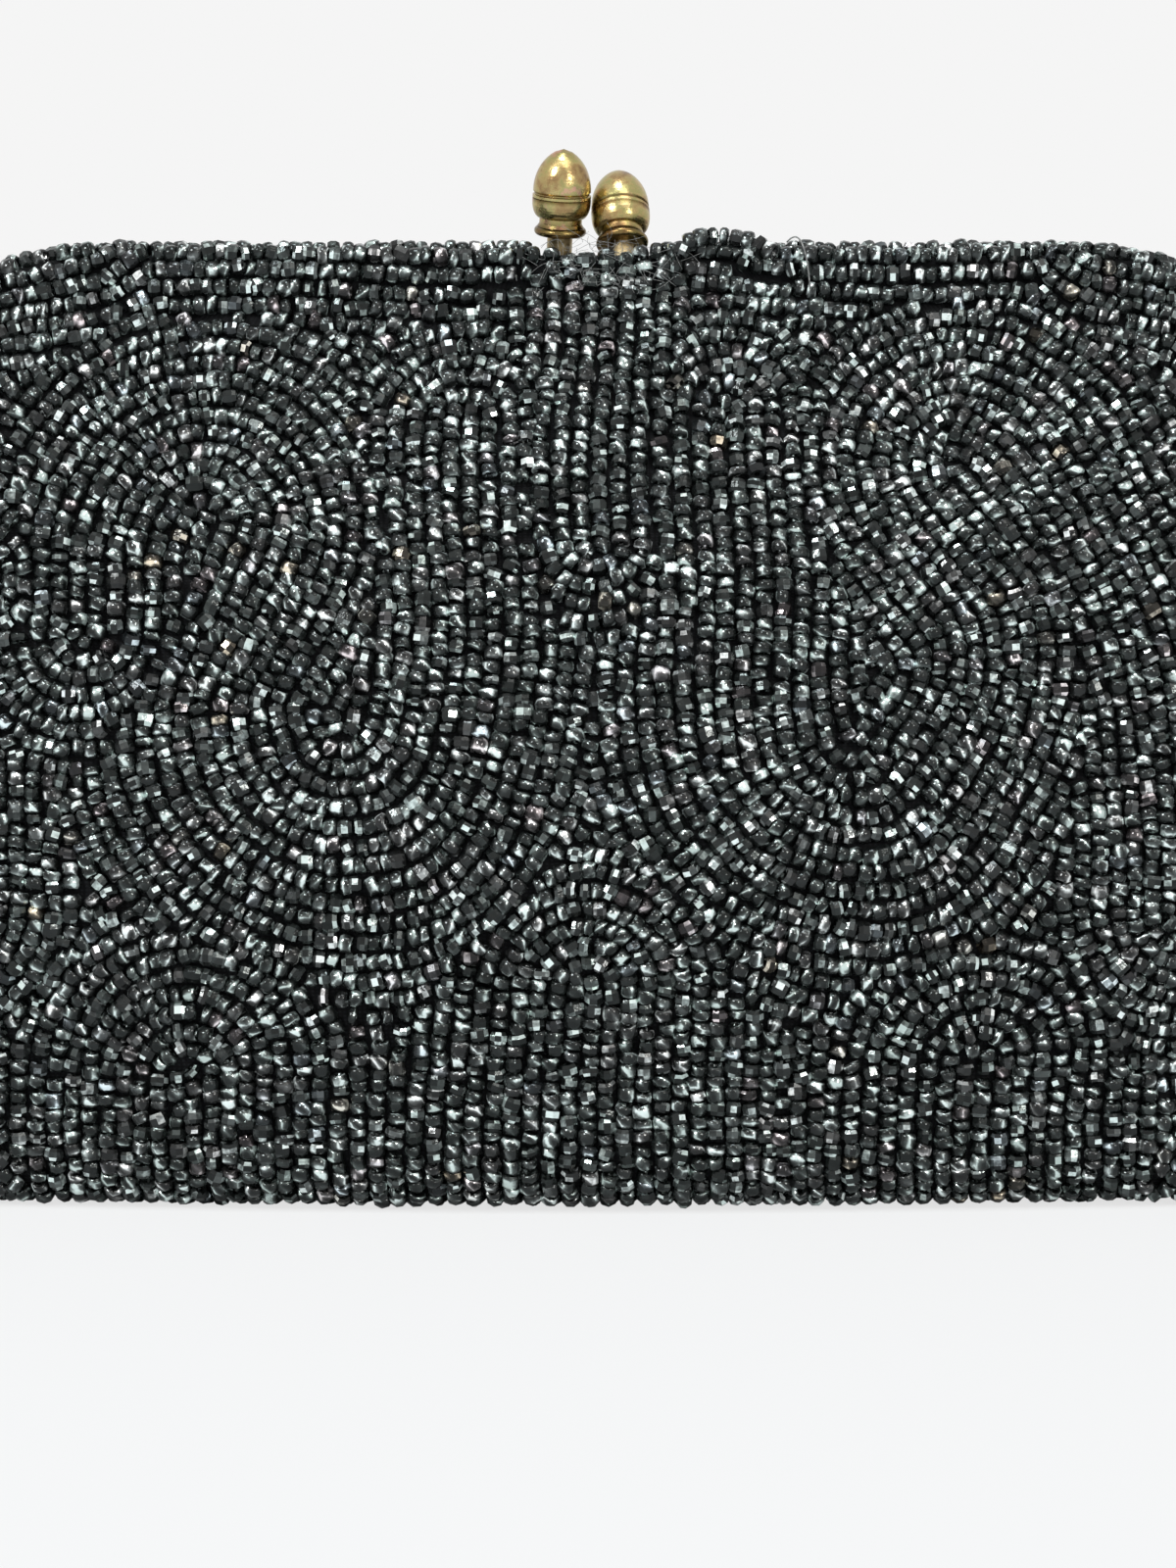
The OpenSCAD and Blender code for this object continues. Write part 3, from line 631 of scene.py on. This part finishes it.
# Beads
# Dark glass seed beads, strung and couched down in rows that follow large
# nested scrolls. A row keeps its distance from the line of its scroll.
bead_r, bead_l, bead_in = 0.00117, 0.00152, 0.00115
row_pitch, bead_pitch, most_rows = 0.00225, 0.00160, 26
least_apart, open_reach = 0.00134, 0.00149
seam_clear, mouth_clear = 0.0004, 0.0009
line_step, cell = 0.0007, 0.001
edge_steps, top_steps = 300, 160
spot_jitter, look_ahead = 0.00005, 0.0003
own_slack, other_slack = 0.00012, 0.0002
wave_size, wave_margin, row_jitter = 0.00048, 0.012, 0.00014
tilt_up, tilt_aside, cut_share = 0.19, 0.16, 0.30
chart_columns, chart_rows, chart_steps, chart_half_w = 321, 150, 541, 0.135
picture_scale = 8250.0
picture_x0, picture_y0, picture_z0 = 603, 800, 0.052
# Lines of the scrolls as they lie in the photograph, in its pixels. Those past
# its edges carry the pattern on to the side seams.
scrolls = [
    [(95, 640), (100, 540), (150, 455), (230, 435), (300, 480), (318, 550), (280, 640),
     (243, 720), (262, 800), (320, 850), (400, 845), (455, 790), (475, 700), (478, 580),
     (478, 425)],
    [(740, 425), (742, 580), (742, 700), (765, 795), (820, 850), (905, 855), (960, 800),
     (1005, 720), (1005, 640), (960, 570), (912, 490), (925, 425), (985, 400), (1060, 450),
     (1110, 540), (1160, 640), (1188, 740), (1195, 850), (1188, 930)],
    [(605, 200), (605, 560)],
    [(590, 1005), (590, 1500)],
    [(200, 1095), (200, 1500)],
    [(990, 1075), (990, 1500)],
    [(-5, 200), (-5, 590)],
    [(-110, 640), (-115, 540), (-165, 455), (-250, 435)],
    [(-90, 900), (-90, 780), (-150, 720)],
    [(-170, 1095), (-170, 1500)],
    [(1330, 430), (1375, 520), (1360, 640), (1330, 760)],
    [(1375, 1085), (1375, 1500)],
]


def run_of(points):
    """Length along a line of points up to each of them."""
    return np.concatenate([[0], np.cumsum(np.linalg.norm(np.diff(points, axis=0), axis=1))])


def points_at(places, run, points):
    """Points of a line at given lengths along it."""
    return np.stack([np.interp(places, run, column) for column in points.T], -1)


class Chart:
    """One half of the bag laid flat: s runs across from the middle and v up
    the middle line, both in metres along the surface of the beads' middles."""

    def __init__(self, side):
        """Rows of the shell's points, each put at even steps of its length."""
        points = shell(bead_in, side, chart_columns, chart_rows)
        middle = points[:, points.shape[1] // 2]
        steps = np.linalg.norm(np.diff(points, axis=1), axis=-1)
        run = np.concatenate([np.zeros((len(points), 1)), np.cumsum(steps, axis=1)], axis=1)
        run -= run[:, [run.shape[1] // 2]]
        self.v = run_of(middle)
        self.s = np.linspace(-chart_half_w, chart_half_w, chart_steps)
        self.limit = run[:, -1]
        self.grid = np.array([points_at(self.s, *row) for row in zip(run, points)])
        self.z = middle[:, 2]

    def at(self, s, v):
        """Point of the surface: weighted mean of the grid's four points round it."""
        row = np.interp(v, self.v, np.arange(len(self.v)))
        low = np.minimum(row.astype(int), len(self.v) - 2)
        f = (row - low)[:, None]
        place = np.clip((s - self.s[0]) / (self.s[1] - self.s[0]), 0, len(self.s) - 1.001)
        left = place.astype(int)
        g = (place - left)[:, None]
        grid = self.grid
        lower = grid[low, left] * (1 - g) + grid[low, left + 1] * g
        upper = grid[low + 1, left] * (1 - g) + grid[low + 1, left + 1] * g
        return lower * (1 - f) + upper * f

    def inside(self, s, v):
        """True where a bead fits between the side seams, the base and the mouth."""
        return ((np.abs(s) < np.interp(v, self.v, self.limit) - seam_clear)
                & (v > mouth_clear) & (v < self.v[-1] - mouth_clear))

    def from_front(self, x, z):
        """Chart place of a point given by x and z as seen from the front."""
        up = base_rows - 1
        v = np.interp(z, self.z[up:], self.v[up:])
        v = np.where(z < self.z[0], self.v[up] + (z - self.z[0]), v)
        v = np.where(z > self.z[-1], self.v[-1] + (z - self.z[-1]), v)
        row = np.clip(np.searchsorted(self.v, v), 0, len(self.v) - 1)
        s = np.array([np.interp(x[k], self.grid[row[k], :, 0], self.s) for k in range(len(x))])
        return np.stack([s, v], -1)


def curve_through(points, step):
    """Smooth curve through the points, sampled every step of its length: cubic
    pieces that leave each point along the line between its two neighbours."""
    samples = 40
    if len(points) > 2:
        padded = np.vstack([2 * points[0] - points[1], points, 2 * points[-1] - points[-2]])
        u = np.linspace(0, 1, samples, endpoint=False)[:, None]
        pieces = []
        for k in range(len(points) - 1):
            a, b, c, d = padded[k:k + 4]
            pieces.append(0.5 * (2 * b + (c - a) * u + (2 * a - 5 * b + 4 * c - d) * u ** 2
                                 + (3 * b - a - 3 * c + d) * u ** 3))
        points = np.vstack(pieces + [points[-1:]])
    run = run_of(points)
    return points_at(np.arange(0, run[-1], step), run, points)


def nearest(places, line):
    """Distance of each place from the nearest sample of a line: the root of
    the sum of their squared lengths less twice their dot product."""
    slice_size, far_off = 1500, 9.0
    least = np.full(len(places), far_off)
    for k in range(0, len(places), slice_size):
        part = places[k:k + slice_size]
        square = (part ** 2).sum(1)[:, None] - 2 * part @ line.T + (line ** 2).sum(1)
        least[k:k + slice_size] = np.sqrt(np.clip(square.min(1, initial=far_off), 0, None))
    return least


def spread_of(line, chart):
    """Map of the distance from a line, on a grid of one cell to a millimetre,
    and a lookup in it."""
    s, v = np.arange(-0.136, 0.137, cell), np.arange(-0.003, chart.v[-1] + 0.003, cell)
    grid = np.stack(np.meshgrid(s, v, indexing="ij"), -1)
    field = nearest(grid.reshape(-1, 2), line[::2]).reshape(len(s), len(v))

    def look(places):
        """Weighted mean of the four cells round each place."""
        at = np.clip((places - [s[0], v[0]]) / cell, 0, [len(s) - 1.001, len(v) - 1.001])
        low = at.astype(int)
        f, g = (at - low).T
        a, b = low.T
        return ((field[a, b] * (1 - f) + field[a + 1, b] * f) * (1 - g)
                + (field[a, b + 1] * (1 - f) + field[a + 1, b + 1] * f) * g)
    return look


def beside(line, distance, capped):
    """Row at a distance from a line, as one run of points: round both sides of
    it with half rounds at its ends, or on one side where it isn't capped."""
    along = unit(np.gradient(line, axis=0))
    out = np.stack([along[:, 1], -along[:, 0]], -1)
    if not capped:
        return line - distance * out
    arc_step, fewest = 0.0006, 4
    half = np.linspace(0, np.pi, max(fewest, int(np.pi * distance / arc_step)))[1:-1, None]
    far = line[-1] + distance * (np.cos(half) * out[-1] + np.sin(half) * along[-1])
    near = line[0] - distance * (np.cos(half) * out[0] + np.sin(half) * along[0])
    return np.vstack([line + distance * out, far, (line - distance * out)[::-1], near])


def lay_rows(chart, flip, seed):
    """Places and directions of all beads of one half in its chart. Each place
    belongs to the line it is nearest to, beads keep least_apart, rows ease
    apart, and what is left open is filled with single beads. Slow waves and a
    small shift by chance keep the rows from looking drawn."""
    draw = np.random.default_rng(seed)
    lines = []
    for points in scrolls:
        pixels = np.array(points, float)
        x = (pixels[:, 0] - picture_x0) / picture_scale * flip
        z = picture_z0 + (picture_y0 - pixels[:, 1]) / picture_scale
        lines.append(curve_through(chart.from_front(x, z), line_step))
    edge_v = np.linspace(-0.02, chart.v[-1], edge_steps)
    edge_s = np.interp(edge_v, chart.v, chart.limit)
    top_s = np.linspace(edge_s[-1], -edge_s[-1], top_steps)
    outline = np.vstack([np.stack([edge_s, edge_v], -1),
                         np.stack([top_s, np.full(top_steps, chart.v[-1])], -1)[1:-1],
                         np.stack([-edge_s, edge_v], -1)[::-1]])
    lines.append(curve_through(outline, line_step))
    looks = [spread_of(line, chart) for line in lines]
    places, ways = [], []
    for index, line in enumerate(lines):
        is_outline = index == len(lines) - 1
        for k in range(most_rows):
            distance = (k + 0.5) * row_pitch
            row = beside(line, distance, capped=not is_outline)
            run = run_of(row)
            spots = np.arange(draw.uniform(0, bead_pitch), run[-1], bead_pitch)
            spots = spots + draw.normal(0, spot_jitter, len(spots))
            spot = points_at(spots, run, row)
            ahead = points_at(spots + look_ahead, run, row)
            keep = chart.inside(spot[:, 0], spot[:, 1])
            spot, way = spot[keep], (ahead - spot)[keep]
            own = nearest(spot, line)
            keep = own > distance - own_slack
            for other in looks[:index] + looks[index + 1:]:
                keep[keep] = other(spot[keep]) >= own[keep] - other_slack
            places.append(spot[keep])
            ways.append(way[keep])
    place, way = np.vstack(places), unit(np.vstack(ways), 1e-12)
    keep = settle(chart.at(place[:, 0], place[:, 1]), least_apart)
    place, way = ease_apart(place[keep], looks[-1]), way[keep]
    extra = open_places(chart, place, draw)
    beside_it = [np.argmin(((place - spot) ** 2).sum(1)) for spot in extra]
    place, way = np.vstack([place, extra]), np.vstack([way, way[beside_it]])
    s, v = place[:, 0], place[:, 1]
    wave = np.stack([np.sin(v * 150 + 1.3) + np.sin(s * 90 + v * 60),
                     np.sin(s * 130 + 0.4) + np.sin(v * 70 - s * 80)], -1)
    wave *= wave_size * smooth(looks[-1](place) / wave_margin)[:, None]
    return place + wave + draw.normal(0, row_jitter, place.shape), way


def sweep(part_x, other_x, slice_size, reach):
    """Slices of places sorted across the bag, each with the range of the other
    places that can lie within reach of it."""
    for k in range(0, len(part_x), slice_size):
        part = part_x[k:k + slice_size]
        first, last = np.searchsorted(other_x, (part[0] - reach, part[-1] + reach))
        yield slice(k, k + slice_size), slice(first, last)


def ease_apart(place, from_edge):
    """Rows give way to one another: in each round every bead moves by a share
    of the sum of its pushes, one away from each bead within reach and as long
    as what that bead lacks to the reach. The outer rows hold their place."""
    rounds, reach, share = 6, 0.0026, 0.12
    for _ in range(rounds):
        order = np.argsort(place[:, 0], kind="stable")
        swept = place[order]
        push = np.zeros_like(swept)
        for part, near in sweep(swept[:, 0], swept[:, 0], 500, reach):
            away = swept[part][:, None] - swept[None, near]
            gap = np.sqrt((away ** 2).sum(-1)) + 1e-6
            push[part] = (away * (np.clip(reach - gap, 0, None) / gap)[..., None]).sum(1)
        hold = smooth((from_edge(place) - 0.001) / 0.006)[:, None]
        moved = np.zeros_like(place)
        moved[order] = push
        place = place + moved * share * hold
    return place


def settle(place, apart):
    """Keeps places that have no kept place of a lower number closer than
    apart, in rounds that each settle the places whose lower ones are settled."""
    order = np.argsort(place[:, 0], kind="stable")
    swept = place[order]
    pairs = []
    for part, near in sweep(swept[:, 0], swept[:, 0], 500, apart):
        gap = ((swept[part][:, None] - swept[None, near]) ** 2).sum(-1)
        a, b = np.nonzero(gap < apart * apart)
        pairs.append(np.stack([order[part][a], order[near][b]], -1))
    pairs = np.vstack(pairs)
    pairs = pairs[pairs[:, 1] < pairs[:, 0]]
    kept, dropped = np.zeros((2, len(place)), bool)
    while not (kept | dropped).all():
        waiting = np.zeros(len(place), bool)
        open_pair = ~dropped[pairs[:, 1]] & ~kept[pairs[:, 1]]
        waiting[pairs[open_pair, 0]] = True
        dropped[pairs[kept[pairs[:, 1]], 0]] = True
        kept |= ~waiting & ~dropped
    return np.nonzero(kept)[0]


def open_places(chart, place, draw):
    """Places at least open_reach away from every bead, measured in space from
    a fine grid of places on the chart, one slice across the bag at a time."""
    step = 0.0007
    free = np.stack(np.meshgrid(np.arange(-chart_half_w, chart_half_w, step),
                                np.arange(0, chart.v[-1], step)), -1).reshape(-1, 2)
    free = free[chart.inside(free[:, 0], free[:, 1])]
    free = free[draw.permutation(len(free))]
    there = chart.at(free[:, 0], free[:, 1])
    laid = chart.at(place[:, 0], place[:, 1])
    laid = laid[np.argsort(laid[:, 0])]
    is_open = np.zeros(len(free), bool)
    order = np.argsort(there[:, 0])
    for part, near in sweep(there[order, 0], laid[:, 0], 400, open_reach):
        is_open[order[part]] = nearest(there[order[part]], laid[near]) > open_reach
    return free[is_open][settle(there[is_open], open_reach)]


def bead_shape():
    """Closed ring section of a seed bead: hole, rounded ends and a barrel
    wall, turned round the bead's axis in eight steps."""
    radius = np.array([0.36, 0.81, 1.0, 1.0, 0.81, 0.36])
    length = np.array([-0.42, -0.50, -0.23, 0.23, 0.50, 0.42])
    turn = np.arange(8) * np.pi / 4
    points = np.stack([length[:, None] + 0 * turn, radius[:, None] * np.cos(turn),
                       radius[:, None] * np.sin(turn)], -1)
    at = np.arange(points[..., 0].size).reshape(len(radius), len(turn))
    after, right = np.roll(at, -1, axis=0), np.roll(at, -1, axis=1)
    both = np.roll(after, -1, axis=1)
    return points.reshape(-1, 3), np.stack([at, right, both, after], -1).reshape(-1, 4)


def string_beads(name, middles, along, out, draw, material):
    """One mesh of many beads: each is the bead shape, stretched to its own
    radius and length, tilted a little and turned round its thread at random.
    A share of them is cut flat, with a painted glint value of its own on each
    facet. On the round ones that value goes softly from corner to corner."""
    count = len(middles)
    along = unit(along + out * draw.normal(0, tilt_up, (count, 1))
                 + np.cross(along, out) * draw.normal(0, tilt_aside, (count, 1)))
    beside_way = unit(np.cross(out, along))
    upward = np.cross(along, beside_way)
    roll = draw.uniform(0, 2 * np.pi, (count, 1))
    one = upward * np.cos(roll) + beside_way * np.sin(roll)
    two = beside_way * np.cos(roll) - upward * np.sin(roll)
    radius = bead_r * np.clip(draw.normal(0.97, 0.07, count), 0.80, 1.10)
    length = bead_l * np.clip(draw.normal(1.0, 0.14, count), 0.66, 1.34)
    shape, quads = bead_shape()
    points = (middles[:, None]
              + shape[None, :, :1] * (length[:, None] * along)[:, None]
              + shape[None, :, 1:2] * (radius[:, None] * one)[:, None]
              + shape[None, :, 2:3] * (radius[:, None] * two)[:, None]).reshape(-1, 3)
    faces = (quads[None] + len(shape) * np.arange(count)[:, None, None]).reshape(-1, 4)
    mesh = bpy.data.meshes.new(name)
    mesh.vertices.add(len(points))
    mesh.vertices.foreach_set("co", points.ravel().astype(np.float32))
    mesh.loops.add(faces.size)
    mesh.loops.foreach_set("vertex_index", faces.ravel().astype(np.int32))
    mesh.polygons.add(len(faces))
    mesh.polygons.foreach_set("loop_start", np.arange(len(faces), dtype=np.int32) * 4)
    mesh.update(calc_edges=True)
    cut = np.repeat(draw.random(count) < cut_share, len(quads))
    mesh.polygons.foreach_set("use_smooth", ~cut)
    tone = np.repeat(draw.random(count), len(shape))
    # Random values, one per facet of a cut bead and soft over a round one, that decide where
    # glints are painted silver on each bead
    by_facet = np.repeat(draw.random(len(faces)), 4)
    by_corner = (0.5 - 0.5 * np.cos(np.pi * draw.random(len(points))))[faces.ravel()]
    painted_glint = np.where(np.repeat(cut, 4), by_facet, 0.10 + 0.96 * by_corner)
    for title, domain, values in (("tone", "POINT", tone), ("painted_glint", "CORNER", painted_glint)):
        layer = mesh.attributes.new(title, "FLOAT", domain)
        layer.data.foreach_set("value", values.astype(np.float32))
    mesh.materials.append(material)
    return put(name, mesh)


def multiplied(tree, one, other):
    """Product of two colours."""
    node = tree.nodes.new("ShaderNodeMix")
    node.data_type = "RGBA"
    node.blend_type = "MULTIPLY"
    feed(tree, node, {"Factor": 1.0, "A": one, "B": other})
    return node.outputs["Result"]


def bead_glass(name):
    """Black glass with a gunmetal lustre and glints painted into its colour: by
    chance, most of a bead is near black and a little of it is painted silver,
    standing in for highlights. Each bead's own tone tints it: cool grey, and now
    and then rose or honey."""
    made, tree, shader, place = new_material(name)
    tone, painted_glint = (tree.nodes.new("ShaderNodeAttribute") for _ in range(2))
    tone.attribute_name, painted_glint.attribute_name = "tone", "painted_glint"
    tint = ramp(tree, tone.outputs["Fac"], [
        (0.0, (0.52, 0.61, 0.57)), (0.40, (0.78, 0.89, 0.85)), (0.75, (0.90, 0.99, 0.96)),
        (0.92, (1.0, 1.0, 0.98)), (0.945, (1.0, 0.86, 0.87)), (0.965, (0.86, 0.97, 1.0)),
        (0.985, (0.84, 0.95, 1.0)), (1.0, (1.0, 0.84, 0.62))])
    # Painted glints: where this value runs high, the bead's colour is painted silver, standing in
    # for highlights
    glint_level = arithmetic(tree, "MULTIPLY_ADD", noise(tree, place, 1700, 2), 0.34,
                      painted_glint.outputs["Fac"])
    body_and_glints = ramp(tree, ranged(tree, glint_level, 0.0, 1.0, top=1.22), [
        (0.0, (0.010, 0.010, 0.010)), (0.52, (0.034, 0.034, 0.034)),
        (0.77, (0.12, 0.12, 0.12)), (0.86, (0.46, 0.46, 0.46)),
        (0.93, (0.97, 0.97, 0.97))])
    feed(tree, shader, {"Base Color": multiplied(tree, body_and_glints, tint), "Metallic": 0.68,
                        "Roughness": ranged(tree, noise(tree, place, 900, 3), 0.03, 0.24)})
    bump(tree, noise(tree, place, 1500, 2), 0.00016, 0.35, shader)
    return made


glass = bead_glass("gunmetal_glass")
beads_to_a_mesh, lift_size, near_by = 2000, 0.00008, 0.0004
floor_clear = 0.00155
bare_half_w, bare_h, bare_y = slit_half_w + 0.001, 0.004, 0.0052
# The line, seen from the front in x and z, along which a torn thread has let
# the rows part
torn_from, torn_to = np.array([0.0118, 0.1184]), np.array([0.0266, 0.1128])
torn_half_w, torn_reach = 0.00065, 0.0016
for (half, side), row_seed, bead_seed in zip(halves, (11, 12), (21, 22)):
    chart = Chart(side)
    place, way = lay_rows(chart, -side, row_seed)
    s, v = place[:, 0], place[:, 1]
    middles = chart.at(s, v)
    middles[:, 2] = np.maximum(middles[:, 2], floor_clear)
    ahead = unit(chart.at(s + way[:, 0] * near_by, v + way[:, 1] * near_by) - middles, 1e-12)
    out = unit(np.cross(chart.at(s + near_by, v) - chart.at(s - near_by, v),
                        chart.at(s, v + near_by) - chart.at(s, v - near_by)) * -side, 1e-12)
    bare = ((np.abs(middles[:, 0]) < bare_half_w) & (np.abs(middles[:, 1]) < bare_y)
            & (middles[:, 2] > bag_h - bare_h))
    if side < 0:
        reach = torn_to - torn_from
        torn_length = np.linalg.norm(reach)
        apart = middles[:, (0, 2)] - torn_from
        share = np.clip(apart @ reach / (reach @ reach), 0, 1)
        aside = apart @ np.array([-reach[1], reach[0]]) / torn_length
        push = (np.sign(aside) * torn_half_w * np.exp(-(aside / torn_reach) ** 2)
                * np.sqrt(np.sin(np.pi * share)))
        middles[:, 0] -= push * reach[1] / torn_length
        middles[:, 2] += push * reach[0] / torn_length
    middles, ahead, out = middles[~bare], ahead[~bare], out[~bare]
    order = np.argsort(middles[:, 0], kind="stable")
    draw = np.random.default_rng(bead_seed)
    for k in range(0, len(order), beads_to_a_mesh):
        part = order[k:k + beads_to_a_mesh]
        lift = draw.normal(0, lift_size, (len(part), 1))
        beads = string_beads(f"beads_{half}_{k // beads_to_a_mesh + 1}",
                             middles[part] + out[part] * lift, ahead[part], out[part],
                             draw, glass)
        ride_half(beads, side)


# Wear at the posts
# Years of opening have broken threads beside the posts: one short string of
# beads has come loose and arches over the edge, the rows under it have parted,
# and grey thread ends stand out of the cloth.
fibre_r, thread_r = 0.000024, 0.00010
string_steps, string_rounds = 60, 12
loose_pitch, loose_start, loose_end = 0.00150, 0.0008, 0.0004
fluff_count, fluff_steps = 110, 9
fluff_x, fluff_spread, fluff_y, fluff_z = 0.0016, 0.0050, (0.0046, 0.0086), (0.1176, 0.1198)
fluff_lean, fluff_out, fluff_bend = 0.0024, 0.0007, 0.0007
fold_y, fold_fall = 0.0060, 1.9
grey_thread = spun("grey_thread",
                   [(0.30, (0.10, 0.10, 0.10)), (0.55, (0.22, 0.22, 0.21)),
                    (0.75, (0.38, 0.37, 0.35))],
                   0.85, (2500, 3), (9000, 2), 0.00004, 0.6)

# The loose string, from where it leaves the cloth to where it goes back in
string_points = np.array([[0.0108, -0.0070, 0.1176], [0.0118, -0.0068, 0.1192],
                          [0.0140, -0.0064, 0.1201], [0.0170, -0.0062, 0.1202],
                          [0.0200, -0.0064, 0.1195], [0.0228, -0.0072, 0.1178]])
string_path = points_at(np.linspace(0, len(string_points) - 1, string_steps),
                        np.arange(len(string_points)), string_points)
for _ in range(string_rounds):
    string_path[1:-1] = (string_path[:-2] + string_path[1:-1] * 2 + string_path[2:]) / 4
run = run_of(string_path)
loose_places = np.arange(loose_start, run[-1] - loose_end, loose_pitch)
loose = points_at(loose_places, run, string_path)
ahead = unit(points_at(loose_places + 0.0002, run, string_path) - loose)
facing = unit(np.cross(np.cross(ahead, (0, -1.0, 0.3)), ahead))
loose_beads = string_beads("loose_string_beads", loose, ahead, facing,
                           np.random.default_rng(31), glass)
loose_thread = round_rolls("loose_string_thread", [string_path], thread_r, thread_sides,
                           thread_across, grey_thread)

# A curled thread end beside it, and fluff round the feet of both posts
u = np.linspace(0, 1, 24)
curl = np.stack([0.0243 + 0.0034 * u - 0.0006 * u ** 3, -0.0068 - 0.0022 * np.sin(2.6 * u),
                 0.1193 + 0.0010 * np.sin(3 * u) - 0.0062 * u ** 2.2], -1)
thread_end = round_rolls("thread_end", [curl], thread_r, thread_sides, thread_across,
                         grey_thread)
draw = np.random.default_rng(33)
u = np.linspace(0, 1, fluff_steps)[None, :, None]
foot = np.stack([draw.normal(fluff_x, fluff_spread, fluff_count),
                 -draw.uniform(*fluff_y, fluff_count),
                 draw.uniform(*fluff_z, fluff_count)], -1)
foot[:, 2] -= np.clip(-foot[:, 1] - fold_y, 0, 1) * fold_fall
lean = np.stack([draw.normal(0, fluff_lean, fluff_count),
                 -draw.uniform(0, fluff_out, fluff_count),
                 draw.uniform(-fluff_lean, fluff_lean, fluff_count)], -1)
bend = draw.normal(0, fluff_bend, (fluff_count, 3)) * (1, 0.3, 1)
fluff = foot[:, None] + lean[:, None] * u + bend[:, None] * np.sin(np.pi * u)
fibres = round_rolls("thread_fluff", fluff, fibre_r, thread_sides, thread_across, grey_thread)
for piece in (loose_beads, loose_thread, thread_end, fibres):
    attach(piece, "front_frame")


# Knobs
# Each knob of the kiss lock is two spun brass halves on a leaning post, with a
# collar under it. The old gilding is worn to brass, reddish and green in
# places, and dark in the grooves.
knob_apart, knob_h, knob_step, front_stand = 0.0073, 0.0108, 0.0019, 0.0028
rail_mid_y, rail_top = 0.0022, 0.1171
knob_lean, knob_toe = math.radians(20), math.radians(3)


def with_vector(tree, operation, place, vector):
    """Outputs of a vector node that works on a place and one fixed vector."""
    return new_node(tree, "ShaderNodeVectorMath", {0: place, 1: vector}, operation)


def knob_brass(name, side, seed, blush):
    """Worn brass that follows the knob's own axis: its height above the
    collar, from the distance along the axis, darkens the two grooves."""
    made, tree, shader, place = new_material(name)
    stand = front_stand + (knob_step if side < 0 else 0)
    lean, toe = -side * knob_lean, -side * knob_toe
    axis = np.array([math.sin(toe) * math.cos(lean), -math.sin(lean),
                     math.cos(toe) * math.cos(lean)])
    foot = np.array([side * (knob_apart / 2 + (stand + knob_h / 2) * math.sin(knob_toe)),
                     -side * rail_mid_y, rail_top]) + axis * stand
    from_foot = with_vector(tree, "SUBTRACT", place, foot)["Vector"]
    height = with_vector(tree, "DOT_PRODUCT", from_foot, axis / knob_h)["Value"]
    shifted = with_vector(tree, "ADD", place, (seed, 2 * seed, 0))["Vector"]
    brass = ramp(tree, noise(tree, shifted, 330, 5), [
        (0.30, (0.17, 0.10, 0.05)), (0.42, (0.36, 0.24, 0.11)), (0.50, (0.46, 0.36, 0.16)),
        (0.56, (0.37, 0.34, 0.14)), (0.64, blush)])
    grooves = ramp(tree, height, [
        (0.0, (0.55, 0.50, 0.45)), (0.10, (0.30, 0.25, 0.20)), (0.17, (0.85, 0.80, 0.75)),
        (0.38, (1, 1, 1)), (0.425, (0.45, 0.38, 0.30)), (0.445, (1, 1, 1)),
        (0.475, (1, 1, 1)), (0.495, (0.40, 0.33, 0.25)), (0.53, (1, 1, 1)),
        (0.90, (1.0, 1.0, 0.95)), (1.0, (0.80, 0.72, 0.6))])
    feed(tree, shader, {"Base Color": multiplied(tree, brass, grooves), "Metallic": 1.0,
                        "Roughness": ranged(tree, noise(tree, place, 700, 5), 0.10, 0.42)})
    bump(tree, noise(tree, place, 1100, 4), 0.00012, 0.45, shader)
    return made


for half, side, seed, blush in (("back", -1, 0.013, (0.60, 0.34, 0.24)),
                                ("front", 1, 0.057, (0.50, 0.37, 0.18))):
    dress(knob_brass(half + "_knob_brass", side, seed, blush),
          half + "_knob_collar", half + "_knob_cup", half + "_knob_dome")
